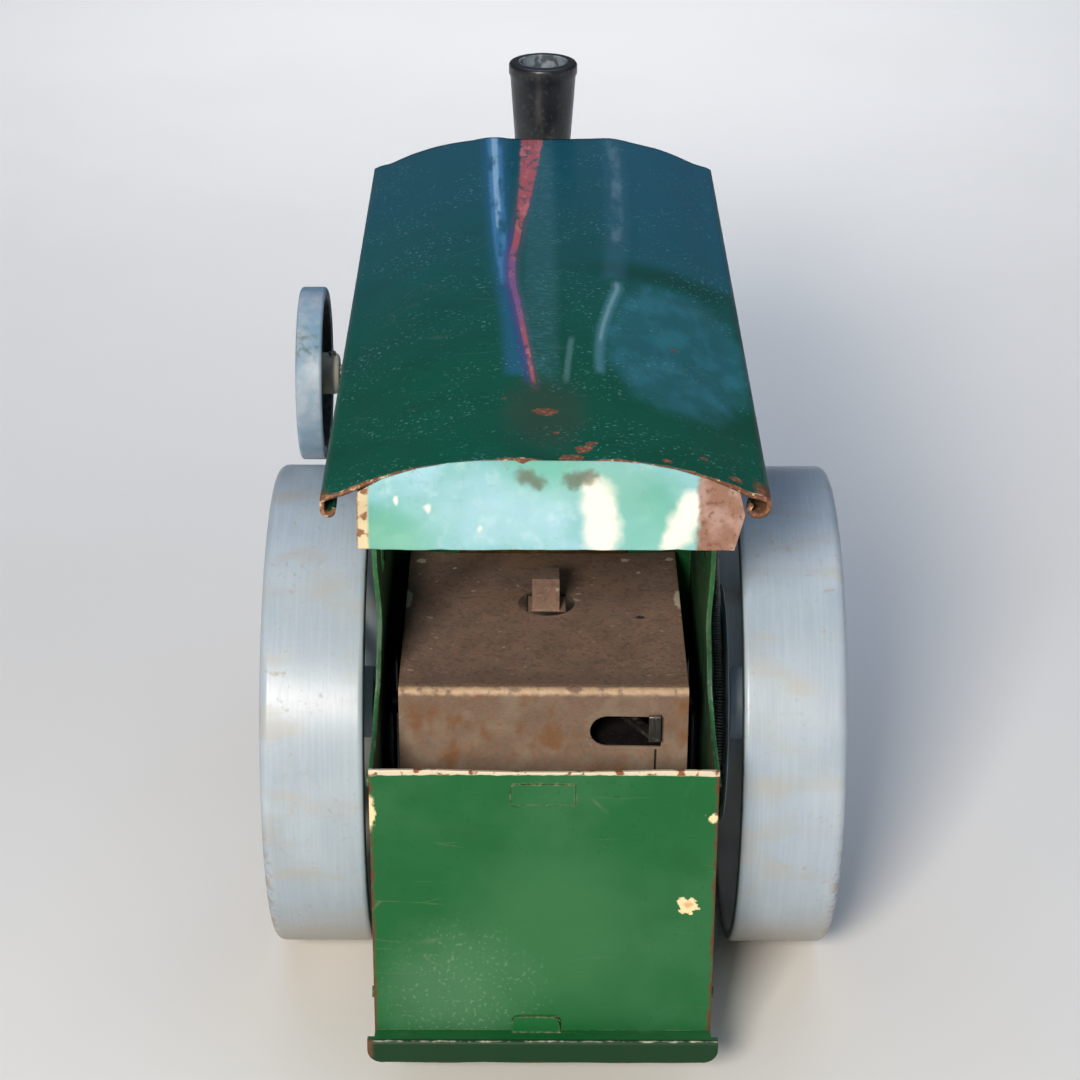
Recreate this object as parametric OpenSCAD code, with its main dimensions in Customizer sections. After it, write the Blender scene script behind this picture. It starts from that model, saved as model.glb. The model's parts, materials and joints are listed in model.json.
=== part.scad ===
// Model steam road roller: a toy live-steam engine on three rollers.
// Works frame of the sub-parts: X to the right, Y forward, Z up, millimetres,
// Y = 0 on the rear axle and Z = 0 on the ground.
// place() moves that frame so that the origin is at the bottom centre of the whole roller.

/* [Rear rollers] */
// Diameter of a rear roller
rear_d = 105; // [104:0.5:106]
// Width of a rear roller's rim
rear_w = 21.5; // [20:0.5:21.5]
// Distance from the centre line to the left roller's inner face
left_gap_x = 36.5; // [36.2:0.1:38]
// Distance from the centre line to the right roller's inner face, past the belt pulley
right_gap_x = 40.5; // [40.2:0.1:42]
// Spokes in a rear roller
spokes = 10; // [8:1:12]

/* [Body] */
// Width over the side plates
body_w = 68.4; // [68:0.1:68.6]
// Rear face of the bunker, measured back from the rear axle
bunker_back_y = 74; // [72:0.5:75]
// Height of the bunker's top edge
bunker_top_z = 77.7; // [74:0.1:79]
// Height of the floor's top face
floor_z = 16.6; // [15:0.1:17]
// Thickness of the side plates
plate_t = 1.0; // [0.8:0.1:1.2]
// Thickness of the lighter sheet
sheet_t = 0.8; // [0.6:0.1:1.0]

/* [Boiler] */
// Outer diameter of the boiler
boiler_d = 38; // [36:0.5:38.5]
// Height of the boiler's axis
boiler_z = 77; // [76:0.5:77.5]
// Length of the boiler shell
boiler_len = 100; // [98:1:100]

/* [Canopy] */
// Width of the canopy
canopy_w = 84; // [80:1:88]
// Length of the canopy
canopy_len = 199; // [190:1:200]
// Height of the canopy's crown
canopy_z = 143.5; // [142:0.5:148]

/* [Chimney] */
// Height of the chimney's top
chimney_z = 159; // [155:1:170]
// Radius of the chimney's flue
flue_r = 5.8; // [5:0.1:6]

/* [Front rollers] */
// Diameter of the front roller
front_d = 50; // [46:1:50]
// Distance between the rear and front axles
wheelbase = 143; // [142:1:145]

/* [Hidden] */
$fn = 64;

// Paint and metal colours
green_paint = [0.18, 0.42, 0.26];
roof_paint = [0.06, 0.30, 0.27];
blue_paint = [0.66, 0.73, 0.78];
rusty_steel = [0.43, 0.33, 0.27];
black_paint = [0.07, 0.07, 0.08];
brass = [0.72, 0.56, 0.26];
steel = [0.62, 0.62, 0.62];
copper = [0.72, 0.42, 0.28];

// Running clearance of a shaft in its hole, on the radius
run = 0.03;
// Gap left between pieces that slide over each other
slip = 0.1;

// Places worked out from the driving dimensions
rear_r = rear_d / 2;
half_w = body_w / 2;
inner_w = half_w - plate_t;
boiler_r = boiler_d / 2;
boiler_y0 = 20;
boiler_y1 = boiler_y0 + boiler_len;
boiler_top = boiler_z + boiler_r;
roof_y0 = -72.6;
roof_y1 = roof_y0 + canopy_len;
front_r = front_d / 2;

// Centre of the whole roller in the works frame
mid_x = (right_gap_x - left_gap_x) / 2;
lip_back_y = -bunker_back_y - 4;
mid_y = (wheelbase + front_r + lip_back_y) / 2;

// Rear axle
axle_r = 2.5;
hub_in = 0.6;
hub_out = 18;

// Crankshaft, engine and belt drive
crank_y = 60;
crank_z = 106.6;
crank_throw = 5.5;
shaft_r = 2.0;
pin_r = 1.6;
disc_r = 7.6;
web_in = 3.4;
web_out = 5.0;
pivot_y = 98;
pivot_z = 113;
engine_rise = atan2(pivot_z - crank_z, pivot_y - crank_y);
engine_reach = norm([pivot_y - crank_y, pivot_z - crank_z]);
rod_reach = engine_reach - crank_throw;
belt_x = 37.5;
belt_r = 1.1;
groove_big_r = 23.6;
groove_small_r = 5.0;
groove_w = 4.2;
pulley_x0 = belt_x - groove_w / 2;

// Flywheel
fly_r = 20;
fly_x0 = -56;
fly_x1 = -50;

// Firebox casing
case_w = 29.5;
case_y0 = -47;
case_y1 = 18;
case_z = 81;

// Fittings on the boiler
valve_y = 34;
whistle_x = -9;
whistle_y = 30;
pipe_x = 9;
smoke_r = 20.5;
smoke_y0 = 118;
smoke_y1 = 157;
chimney_y = 138;
post_x = 36;
post_y = 112;

// Front end
fork_top = 54.2;
fork_t = 1.6;
arm_in = 33.6;
front_axle_r = 1.75;
roller_in = 1.55;
roller_out = 33.2;
king_r = 2.0;

// ---------- helpers ----------

// Moves the works frame to the roller's own origin
module place() translate([-mid_x, -mid_y, 0]) children();

// Points along an arc
function arc(c, r, a0, a1, n = 12) =
    [for (i = [0:n]) c + r * [cos(a0 + (a1 - a0) * i / n), sin(a0 + (a1 - a0) * i / n)]];

// Round bars along the three axes
module x_bar(x0, x1, r, y, z, fn = $fn)
    translate([x0, y, z]) rotate([0, 90, 0]) cylinder(r = r, h = x1 - x0, $fn = fn);
module y_bar(y0, y1, r, x, z, fn = $fn)
    translate([x, y0, z]) rotate([-90, 0, 0]) cylinder(r = r, h = y1 - y0, $fn = fn);
module z_bar(z0, z1, r, x, y, fn = $fn)
    translate([x, y, z0]) cylinder(r = r, h = z1 - z0, $fn = fn);

// Block between two corners
module block(low, high) translate(low) cube(high - low);

// A flat outline drawn in (Y, Z), as thick as x0 to x1
module side_plate(x0, x1)
    translate([x0, 0, 0]) rotate([90, 0, 90]) linear_extrude(x1 - x0) children();

// A flat outline drawn in (X, Z), as thick as y0 to y1
module cross_plate(y0, y1)
    translate([0, y1, 0]) rotate([90, 0, 0]) linear_extrude(y1 - y0) children();

// A turned piece about an X axis: profile points are (radius, distance along X)
module turned_x(x0, y, z, points, flip = false)
    translate([x0, y, z]) rotate([0, flip ? -90 : 90, 0]) rotate_extrude() polygon(points);

// A turned piece about a Z axis: profile points are (radius, height)
module turned_z(x, y, points) translate([x, y, 0]) rotate_extrude() polygon(points);

// Cuts a fitting to the boiler's curve
module on_boiler(r = boiler_r + 0.01)
    difference() {
        children();
        y_bar(boiler_y0 - 10, boiler_y1 + 50, r, 0, boiler_z);
    }

// A small rivet head on a side plate's outer face
module rivet(side, x, y, z)
    x_bar(side > 0 ? x : -x - 0.7, side > 0 ? x + 0.7 : -x, 1.2, y, z, 24);

// ---------- body ----------

// Outline of a side plate: bunker side, cab opening, rear post and crank arm
horn_outline = concat(
    [[-bunker_back_y + sheet_t, floor_z], [-bunker_back_y + sheet_t, bunker_top_z]],
    arc([-60, bunker_top_z + 12], 12, -90, 0),
    [[-52, 137.4], [-36, 137.4]],
    arc([-21, 108], 12, 180, 270),
    [[45, 96]],
    arc([crank_y, crank_z], 8, 150, -30),
    [[31, 62]],
    arc([22, floor_z + 4], 4, 0, -90, 6)
);

module hornplate(x0) {
    color(green_paint)
    difference() {
        side_plate(x0, x0 + plate_t) polygon(horn_outline);
        x_bar(x0 - 1, x0 + plate_t + 1, axle_r + 0.02, 0, rear_r);
        x_bar(x0 - 1, x0 + plate_t + 1, 3.5, crank_y, crank_z);
    }
}
module hornplate_left() hornplate(-half_w);
module hornplate_right() hornplate(inner_w);

module bunker_back_panel() {
    color(green_paint)
    union() {
        block([-half_w, -bunker_back_y, floor_z], [half_w, -bunker_back_y + sheet_t, bunker_top_z]);
        block([-6.4, -bunker_back_y - 0.4, bunker_top_z - 7.6],
              [6.2, -bunker_back_y, bunker_top_z - 2.6]);
    }
}

// Floor with the folded lip behind the bunker, its locking tab and the drawbar boss
module bunker_floor() {
    lip_w = half_w + 1.4;
    lip_low = floor_z - 5.2;
    color(green_paint)
    difference() {
        union() {
            block([-half_w, lip_back_y + 1, floor_z - sheet_t], [half_w, 24, floor_z]);
            cross_plate(lip_back_y, lip_back_y + sheet_t)
                polygon(concat([[-lip_w, floor_z - 1], [-lip_w, lip_low + 3]],
                    arc([-lip_w + 3, lip_low + 3], 3, 180, 270, 8),
                    arc([lip_w - 3, lip_low + 3], 3, 270, 360, 8),
                    [[lip_w, floor_z - 1]]));
            side_plate(-lip_w, lip_w)
                polygon(concat(arc([lip_back_y + 1, floor_z - 1], 1, 180, 90, 6),
                    [[lip_back_y + 2, floor_z], [lip_back_y + 2, floor_z - sheet_t],
                     [lip_back_y + sheet_t, floor_z - 1]]));
            block([-6.3, -bunker_back_y - 0.6, floor_z - 0.1], [3.6, -bunker_back_y, floor_z + 2.6]);
            y_bar(-bunker_back_y - 0.6, -bunker_back_y, 1.2, -5.1, floor_z + 2.6, 32);
            y_bar(-bunker_back_y - 0.6, -bunker_back_y, 1.2, 2.4, floor_z + 2.6, 32);
            block([-5.1, -bunker_back_y - 0.6, floor_z + 2.4],
                  [2.4, -bunker_back_y, floor_z + 3.8]);
            z_bar(floor_z - 3.8, floor_z - 0.1, 5, 0, -66);
        }
        z_bar(floor_z - 5, floor_z + 1, 2.1, 0, -66);
    }
}

side_rivet_spots = [[-68, 22], [-68, 72], [-30, 21], [14, 21], [22, 56], [22, 90]];
ear_rivet_spots = [[-48, 132], [-41, 132]];

module side_rivets() {
    color(green_paint)
    for (side = [-1, 1]) {
        for (p = side_rivet_spots) rivet(side, half_w, p[0], p[1]);
        for (p = ear_rivet_spots) rivet(side, half_w + sheet_t, p[0], p[1]);
    }
}

// ---------- firebox ----------

// Sheet-steel burner casing, open below and in front
module firebox_casing() {
    bend = 1.6;
    skin = concat(
        [[case_y0, floor_z]],
        arc([case_y0 + bend, case_z - bend], bend, 180, 90, 8),
        [[case_y1, case_z], [case_y1, case_z - sheet_t]],
        arc([case_y0 + bend, case_z - bend], bend - sheet_t, 90, 180, 8),
        [[case_y0 + sheet_t, floor_z]]
    );
    cheek = concat(
        [[case_y0, floor_z]],
        arc([case_y0 + bend, case_z - bend], bend, 180, 90, 8),
        [[case_y1, case_z], [case_y1, floor_z]]
    );
    color(rusty_steel)
    difference() {
        union() {
            side_plate(-case_w, case_w) polygon(skin);
            side_plate(-case_w, -case_w + sheet_t) polygon(cheek);
            side_plate(case_w - sheet_t, case_w) polygon(cheek);
        }
        y_bar(case_y0 - 1, case_y0 + 1, 3.5, 13, 71.2);
        block([13, case_y0 - 1, 67.7], [24, case_y0 + 1, 74.7]);
        block([-3.4, -11, case_z - 2], [4.8, -2.8, case_z + 1]);
        x_bar(-case_w - 1, case_w + 1, axle_r + 0.4, 0, rear_r);
        block([-case_w - 1, -axle_r - 0.4, floor_z - 1], [case_w + 1, axle_r + 0.4, rear_r]);
    }
}

// Square locating peg that stands up through the casing's top on its own flange
module casing_peg() {
    color(rusty_steel)
    union() {
        block([-2.4, -9.9, case_z - 1.6], [3.5, -4.1, case_z + 6.7]);
        block([-7, -14, case_z - 2 * sheet_t], [8, 0, case_z - sheet_t]);
    }
}

damper_x = 8;
damper_y = -25;
damper_z = 71.2;

module damper_pivot() {
    color(steel)
    union() {
        z_bar(damper_z - 1.4, case_z - sheet_t, 1.5, damper_x, damper_y);
        z_bar(damper_z - 2.2, damper_z - 0.9, 2.4, damper_x, damper_y);
    }
}

// Flat lever under the casing's top, with its finger tab outside the slot
module damper_lever() {
    reach = 27.0;
    angle = atan2(-23.5, 14.8);
    color(steel)
    union() {
        translate([damper_x, damper_y, damper_z - 0.7]) rotate([0, 0, angle])
            difference() {
                union() {
                    cylinder(r = 3.2, h = 0.9);
                    translate([0, -1.2, 0]) cube([reach, 2.4, 0.9]);
                }
                translate([0, 0, -1]) cylinder(r = 1.5 + run, h = 3);
            }
        block([21.4, case_y0 - 2.0, 70.0], [23.8, case_y0 - 0.8, 75.8]);
    }
}

// Spirit burner tray, open above, that slides out forwards under the boiler
module burner_tray() {
    color(steel)
    difference() {
        block([-20, -30, floor_z + 0.05], [20, 22, 27]);
        block([-19.2, -29.2, floor_z + 0.9], [19.2, 21.2, 28]);
    }
}

module tray_handle() {
    handle_z = 22.5;
    color(steel)
    union() {
        for (side = [-1, 1]) {
            y_bar(22, 38, 0.9, side * 9, handle_z, 32);
            translate([side * 6, 38, handle_z]) rotate([0, 0, side > 0 ? 0 : 90])
                rotate_extrude(angle = 90) translate([3, 0]) circle(r = 0.9, $fn = 32);
        }
        x_bar(-6, 6, 0.9, 41, handle_z, 32);
    }
}

// ---------- boiler ----------

module throat_plate() {
    color(green_paint)
    difference() {
        block([-inner_w, 20.2, 52], [inner_w, 20.2 + sheet_t, 97]);
        y_bar(19, 22, boiler_r + 0.02, 0, boiler_z);
    }
}

module boiler_shell() {
    color(brass)
    difference() {
        y_bar(boiler_y0, boiler_y1, boiler_r, 0, boiler_z);
        y_bar(boiler_y0 - 1, boiler_y1 + 1, boiler_r - 0.7, 0, boiler_z);
    }
}

module boiler_end_caps() {
    color(brass)
    union() {
        y_bar(boiler_y0 - 1.2, boiler_y0, boiler_r, 0, boiler_z);
        y_bar(boiler_y0 - 0.1, boiler_y0 + 2, boiler_r - 0.72, 0, boiler_z);
        y_bar(boiler_y1, boiler_y1 + 1.2, boiler_r, 0, boiler_z);
        y_bar(boiler_y1 - 2, boiler_y1 + 0.1, boiler_r - 0.72, 0, boiler_z);
    }
}

module boiler_bands() {
    color(brass)
    for (y = [41, 72])
        difference() {
            y_bar(y, y + 3, boiler_r + 0.4, 0, boiler_z);
            y_bar(y - 1, y + 4, boiler_r, 0, boiler_z);
        }
}

module level_plug() {
    color(brass)
    union() {
        y_bar(boiler_y0 - 2.0, boiler_y0 - 1.2, 3.0, 0, 73);
        y_bar(boiler_y0 - 4.6, boiler_y0 - 2.0, 2.6, 0, 73, 6);
    }
}

module safety_valve_body() {
    color(brass)
    difference() {
        on_boiler() union() {
            z_bar(boiler_top - 1.5, boiler_top + 0.8, 4.2, 0, valve_y);
            z_bar(boiler_top + 0.8, boiler_top + 3.4, 3.8, 0, valve_y, 6);
            z_bar(boiler_top + 3.4, boiler_top + 9, 2.6, 0, valve_y);
        }
        z_bar(boiler_top + 2, boiler_top + 10, 1.0 + run, 0, valve_y);
    }
}

module safety_valve_plunger() {
    color(brass)
    turned_z(0, valve_y, [
        [0, boiler_top + 2.3], [1.0, boiler_top + 2.3], [1.0, boiler_top + 9.1],
        [2.2, boiler_top + 9.1], [2.4, boiler_top + 9.8], [1.6, boiler_top + 11.2],
        [0, boiler_top + 11.6]
    ]);
}

// Whistle with the little side pin that its lever hangs on
module whistle() {
    color(brass)
    union() {
        on_boiler() z_bar(90, 104, 1.8, whistle_x, whistle_y);
        turned_z(whistle_x, whistle_y, [
            [0, 103.9], [1.2, 103.9], [1.2, 105], [2.8, 105], [2.8, 112.6], [1.6, 114], [0, 114]
        ]);
        x_bar(whistle_x - 5, whistle_x - 1, 0.8, whistle_y, 100, 32);
    }
}

module whistle_lever() {
    lever_x0 = whistle_x - 4.4;
    lever_x1 = whistle_x - 2.6;
    color(steel)
    difference() {
        union() {
            x_bar(lever_x0, lever_x1, 2.0, whistle_y, 100, 32);
            block([lever_x0, whistle_y - 13, 99.4], [lever_x1, whistle_y - 1, 100.6]);
            x_bar(lever_x0 - 0.4, lever_x1 + 0.4, 1.3, whistle_y - 13, 100, 32);
        }
        x_bar(lever_x0 - 1, lever_x1 + 1, 0.8 + run, whistle_y, 100, 32);
    }
}

// ---------- smokebox, chimney and front end ----------

module smokebox() {
    color(black_paint)
    difference() {
        y_bar(smoke_y0, smoke_y1, smoke_r, 0, boiler_z);
        y_bar(smoke_y0 - 1, smoke_y1 + 1, boiler_r + 0.05, 0, boiler_z);
        z_bar(boiler_z, boiler_z + 30, flue_r, 0, chimney_y);
    }
}

module smokebox_door() {
    color(black_paint)
    union() {
        translate([0, smoke_y1, boiler_z]) rotate([-90, 0, 0]) rotate_extrude() polygon(concat(
            [[0, 0], [smoke_r, 0], [smoke_r, 1.2], [smoke_r - 1.5, 1.8], [14.5, 1.8], [14.5, 2.6]],
            [for (i = [0:6]) [14.5 * cos(i * 15), 2.6 + 2.4 * sin(i * 15)]]
        ));
        y_bar(smoke_y1 + 4.8, smoke_y1 + 6.4, 1.8, 0, boiler_z);
        block([-0.7, smoke_y1 + 6.2, boiler_z - 6], [0.7, smoke_y1 + 7.2, boiler_z + 1.5]);
        for (z = [boiler_z - 5, boiler_z + 5])
            block([4, smoke_y1 + 1.6, z - 1], [17.5, smoke_y1 + 4.4, z + 1]);
        z_bar(boiler_z - 7.5, boiler_z + 7.5, 1.2, 17, smoke_y1 + 2.6, 32);
    }
}

module chimney_base() {
    color(black_paint)
    difference() {
        turned_z(0, chimney_y, [
            [0, boiler_z + 14], [11, boiler_z + 14], [11, boiler_z + 20.4], [9.4, boiler_z + 21.6],
            [8.6, boiler_z + 24], [0, boiler_z + 24]
        ]);
        y_bar(smoke_y0 - 1, smoke_y1 + 1, smoke_r + 0.01, 0, boiler_z);
        z_bar(boiler_z, boiler_z + 30, flue_r, 0, chimney_y);
    }
}

module chimney() {
    foot = boiler_z + 24;
    stack_r = 6.9;
    cap_r = 8.55;
    taper_z = chimney_z - 22;
    color(black_paint)
    turned_z(0, chimney_y, [
        [flue_r, foot], [7.8, foot], [7.8, foot + 2.4], [stack_r, foot + 3.6], [stack_r, taper_z],
        [cap_r - 0.35, chimney_z - 3.4], [cap_r, chimney_z - 2.8],
        [cap_r, chimney_z - 0.8], [cap_r - 0.35, chimney_z - 0.2], [7.6, chimney_z], [flue_r, chimney_z]
    ]);
}

module front_saddle() {
    color(black_paint)
    difference() {
        union() {
            block([-13, 129, fork_top + 0.2], [13, 155, boiler_z - 14]);
            z_bar(fork_top + 0.2, fork_top + 1.6, 14, 0, wheelbase);
        }
        y_bar(smoke_y0 - 1, smoke_y1 + 1, smoke_r + 0.01, 0, boiler_z);
        z_bar(fork_top - 1, fork_top + 2.2, king_r, 0, wheelbase);
    }
}

module kingpin() {
    color(steel)
    union() {
        z_bar(fork_top - fork_t - 0.3, fork_top + 2.2, king_r, 0, wheelbase);
        z_bar(fork_top - fork_t - 1.3, fork_top - fork_t - 0.2, 3.4, 0, wheelbase);
    }
}

// Steering fork: a crown over the roller and an arm down each side
module front_fork() {
    arm = concat(
        [[wheelbase - 6, fork_top]],
        arc([wheelbase, front_r], 5, 180, 360, 16),
        [[wheelbase + 6, fork_top]]
    );
    crown = concat(
        [[-arm_in - fork_t, wheelbase - 6], [-14, wheelbase - 11], [14, wheelbase - 11],
         [arm_in + fork_t, wheelbase - 6], [arm_in + fork_t, wheelbase + 6]],
        [[14, wheelbase + 11], [-14, wheelbase + 11], [-arm_in - fork_t, wheelbase + 6]]
    );
    color(black_paint)
    difference() {
        union() {
            translate([0, 0, fork_top - fork_t]) linear_extrude(fork_t) polygon(crown);
            side_plate(-arm_in - fork_t, -arm_in) polygon(arm);
            side_plate(arm_in, arm_in + fork_t) polygon(arm);
        }
        z_bar(fork_top - 4, fork_top + 1, king_r + run, 0, wheelbase);
        x_bar(-arm_in - 3, arm_in + 3, front_axle_r, wheelbase, front_r);
    }
}

module front_axle() {
    end = arm_in + fork_t;
    color(steel)
    union() {
        x_bar(-end - 1.2, end + 1.2, front_axle_r, wheelbase, front_r);
        for (side = [-1, 1])
            x_bar(side > 0 ? end : -end - 1.4, side > 0 ? end + 1.4 : -end, 3, wheelbase, front_r);
        x_bar(-roller_in + slip, roller_in - slip, 4, wheelbase, front_r);
    }
}

// One half of the split front roller, from its inner face outwards
module front_roller(flip) {
    bore = front_axle_r + 0.05;
    width = roller_out - roller_in;
    web = width - 6;
    rim_in = front_r - 2.2;
    profile = concat(
        [[bore, 0], [4.5, 0], [4.5, web], [rim_in, web], [rim_in, 0.6], [rim_in + 0.6, 0]],
        arc([front_r - 1, 1], 1, -90, 0, 5),
        arc([front_r - 1.4, width - 1.4], 1.4, 0, 90, 5),
        [[rim_in + 0.4, width - 0.4], [rim_in, width - 2], [rim_in - 0.6, web + 2]],
        [[6, web + 2], [4.5, web + 3], [4.5, width + 0.2], [bore, width + 0.2]]
    );
    color(blue_paint)
    difference() {
        turned_x(flip ? -roller_in : roller_in, wheelbase, front_r, profile, flip);
        for (i = [0:5])
            x_bar(-roller_out, roller_out, 3.6, wheelbase + 13.5 * cos(i * 60),
                front_r + 13.5 * sin(i * 60), 32);
    }
}
module front_roller_left() front_roller(true);
module front_roller_right() front_roller(false);

// ---------- crankshaft and belt drive ----------

// A bearing upright on each shoulder of the boiler
module crank_brackets() {
    upright = concat(
        [[crank_y - 6, 86]],
        arc([crank_y, crank_z], 4, 170, 10, 12),
        [[crank_y + 6, 86]]
    );
    color(steel)
    difference() {
        on_boiler() for (side = [-1, 1]) union() {
            side_plate(side > 0 ? 12 : -13.4, side > 0 ? 13.4 : -12) polygon(upright);
            block([side > 0 ? 8 : -13.4, crank_y - 6, 86], [side > 0 ? 13.4 : -8, crank_y + 6, 95]);
        }
        x_bar(-20, 20, shaft_r + run, crank_y, crank_z);
    }
}

module bearing_bushes() {
    color(brass)
    for (side = [-1, 1])
        difference() {
            union() {
                x_bar(side > 0 ? inner_w - 2.4 : -half_w, side > 0 ? half_w : -inner_w + 2.4,
                    3.5, crank_y, crank_z);
                x_bar(side > 0 ? inner_w - 2.4 : -inner_w, side > 0 ? inner_w : -inner_w + 2.4,
                    4.6, crank_y, crank_z);
            }
            x_bar(-half_w - 1, half_w + 1, shaft_r + run, crank_y, crank_z);
        }
}

// One half of the built-up crankshaft, drawn on the +X side
module crank_half(length) {
    pin_y = crank_y + crank_throw * cos(engine_rise);
    pin_z = crank_z + crank_throw * sin(engine_rise);
    union() {
        x_bar(web_out - 0.1, length, shaft_r, crank_y, crank_z);
        x_bar(web_in, web_out, disc_r, crank_y, crank_z);
        x_bar(pin_r, web_in + 0.1, pin_r, pin_y, pin_z, 48);
    }
}
module crankshaft_left() color(steel) mirror([1, 0, 0]) crank_half(57);
module crankshaft_right() color(steel) crank_half(41);

// Cast flywheel: broad rim, recessed web with six holes and a long boss
module flywheel() {
    width = fly_x1 - fly_x0;
    profile = concat(
        [[shaft_r, 0.6], [4.8, 0.6], [4.8, 2], [16.4, 2], [17, 0.4]],
        arc([fly_r - 0.8, 0.8], 0.8, -90, 0, 5),
        arc([fly_r - 0.8, width - 0.8], 0.8, 0, 90, 5),
        [[17, width - 0.4], [16.4, 4], [4.8, 4], [4.8, width + 1.6]],
        arc([3.6, width + 1.6], 1.2, 0, 90, 5),
        [[shaft_r, width + 2.8]]
    );
    color(blue_paint)
    difference() {
        turned_x(fly_x0, crank_y, crank_z, profile);
        for (i = [0:5])
            x_bar(fly_x0 - 1, fly_x1 + 1, 3.2, crank_y + 10.6 * cos(i * 60 + 30),
                crank_z + 10.6 * sin(i * 60 + 30), 32);
        z_bar(crank_z + 1.8, crank_z + 6, 0.9, fly_x1 + 1.1, crank_y, 24);
    }
}

module flywheel_screw()
    color(steel) z_bar(crank_z + shaft_r, crank_z + 5.4, 0.9, fly_x1 + 1.1, crank_y, 24);

// Round-bottomed belt groove, as a profile of (radius, distance along X)
function groove_profile(bottom, bore, rim) = [
    [bore, 0], [rim, 0], [rim, 0.5], [bottom, 1.0], [bottom, groove_w - 1.0],
    [rim, groove_w - 0.5], [rim, groove_w], [bore, groove_w]
];

module crank_pulley() {
    color(steel)
    turned_x(pulley_x0, crank_y, crank_z, groove_profile(groove_small_r, shaft_r, 8));
}

module roller_pulley() {
    color(blue_paint)
    difference() {
        union() {
            turned_x(pulley_x0, 0, rear_r, groove_profile(groove_big_r, 20, 26.4));
            turned_x(pulley_x0, 0, rear_r, [[7.9, 1.2], [20.1, 1.2], [20.1, 3.0], [7.9, 3.0]]);
            x_bar(pulley_x0, right_gap_x + hub_in, 8, 0, rear_r);
        }
        x_bar(pulley_x0 - 1, right_gap_x + 2, axle_r + run, 0, rear_r);
        for (i = [0:5])
            x_bar(pulley_x0 - 1, right_gap_x + 2, 3.4, 14 * cos(i * 60), rear_r + 14 * sin(i * 60), 32);
    }
}

// Spring belt: one closed tube that follows an arc round each pulley and a straight run between
module drive_belt() {
    big = groove_big_r + belt_r + slip;
    small = groove_small_r + belt_r + slip;
    span = norm([crank_y, crank_z - rear_r]);
    rise = atan2(crank_z - rear_r, crank_y);
    wrap = acos((big - small) / span);
    sides = 10;
    // Each ring is [centre Y, centre Z, wrap radius, angle round that centre]
    rings = concat(
        [for (i = [0:30]) [0, rear_r, big, rise + wrap + i * (360 - 2 * wrap) / 30]],
        [for (i = [0:12]) [crank_y, crank_z, small, rise - wrap + i * 2 * wrap / 12]]
    );
    count = len(rings);
    points = [for (g = rings) for (k = [0:sides - 1])
        let (out = g[2] + belt_r * cos(k * 360 / sides))
        [belt_x + belt_r * sin(k * 360 / sides), g[0] + out * cos(g[3]), g[1] + out * sin(g[3])]];
    faces = [for (i = [0:count - 1]) for (k = [0:sides - 1])
        let (j = (i + 1) % count, m = (k + 1) % sides)
        [i * sides + k, i * sides + m, j * sides + m, j * sides + k]];
    color(steel) polyhedron(points, faces);
}

// ---------- oscillating engine ----------

// Puts local X along the cylinder's axis towards the crank, from the pivot
module engine_line()
    translate([0, pivot_y, pivot_z]) rotate([90, 0, 90]) rotate([0, 0, 180 + engine_rise]) children();

// A round bar along the cylinder's axis
module stroke_bar(s0, s1, r, fn = $fn)
    translate([s0, 0, 0]) rotate([0, 90, 0]) cylinder(r = r, h = s1 - s0, $fn = fn);

module engine_bed() {
    color(steel)
    on_boiler() union() {
        block([-8, 86, 86], [14, 108.5, 98]);
        block([-10, 86, 86], [16, 108.5, 92]);
    }
}

module port_block() {
    color(steel)
    difference() {
        block([6.05, 88, 98], [11, 108, 121]);
        x_bar(5, 12, 1.5 + run, pivot_y, pivot_z, 48);
        x_bar(9, 12, 1.0, 92, 103, 32);
    }
}

module cylinder_block() {
    difference() {
        union() {
            stroke_bar(-13, 11, 5);
            translate([-8, -4.6, 0]) cube([16, 9.2, 6]);
            stroke_bar(-14, -12.9, 3);
            translate([0, 0, 5.9]) cylinder(r = 1.5, h = 13.1, $fn = 48);
        }
        stroke_bar(-11.5, 12, 3.3);
    }
}
module engine_cylinder() color(brass) engine_line() cylinder_block();

module cylinder_gland() {
    color(brass) engine_line()
    difference() {
        union() {
            stroke_bar(11, 12.4, 4.6, 6);
            stroke_bar(12.3, 14.2, 2.4);
        }
        stroke_bar(10, 15, 1.1 + run);
    }
}

// Piston, rod and the eye that runs between the two crank pins
module piston_rod() {
    color(steel) engine_line()
    difference() {
        union() {
            stroke_bar(-10.9, -5.9, 3.3 - run);
            stroke_bar(-6, rod_reach - 1.5, 1.1);
            translate([rod_reach, 0, -1.4]) cylinder(r = 3.1, h = 2.8);
        }
        translate([rod_reach, 0, -2]) cylinder(r = 2.3, h = 4);
    }
}

module big_end_bush() {
    color(brass) engine_line() translate([rod_reach, 0, -1.4])
    difference() {
        cylinder(r = 2.3, h = 2.8);
        translate([0, 0, -1]) cylinder(r = pin_r, h = 5);
    }
}

module pivot_spring() {
    color(steel) engine_line()
    difference() {
        translate([0, 0, 11 + slip]) cylinder(r = 2.6, h = 4.8);
        translate([0, 0, 11]) cylinder(r = 1.6, h = 6);
    }
}

module pivot_nut() {
    color(brass) engine_line()
    difference() {
        translate([0, 0, 11 + slip + 4.8]) cylinder(r = 2.9, h = 2.2, $fn = 6);
        translate([0, 0, 15]) cylinder(r = 1.5, h = 5, $fn = 48);
    }
}

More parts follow.
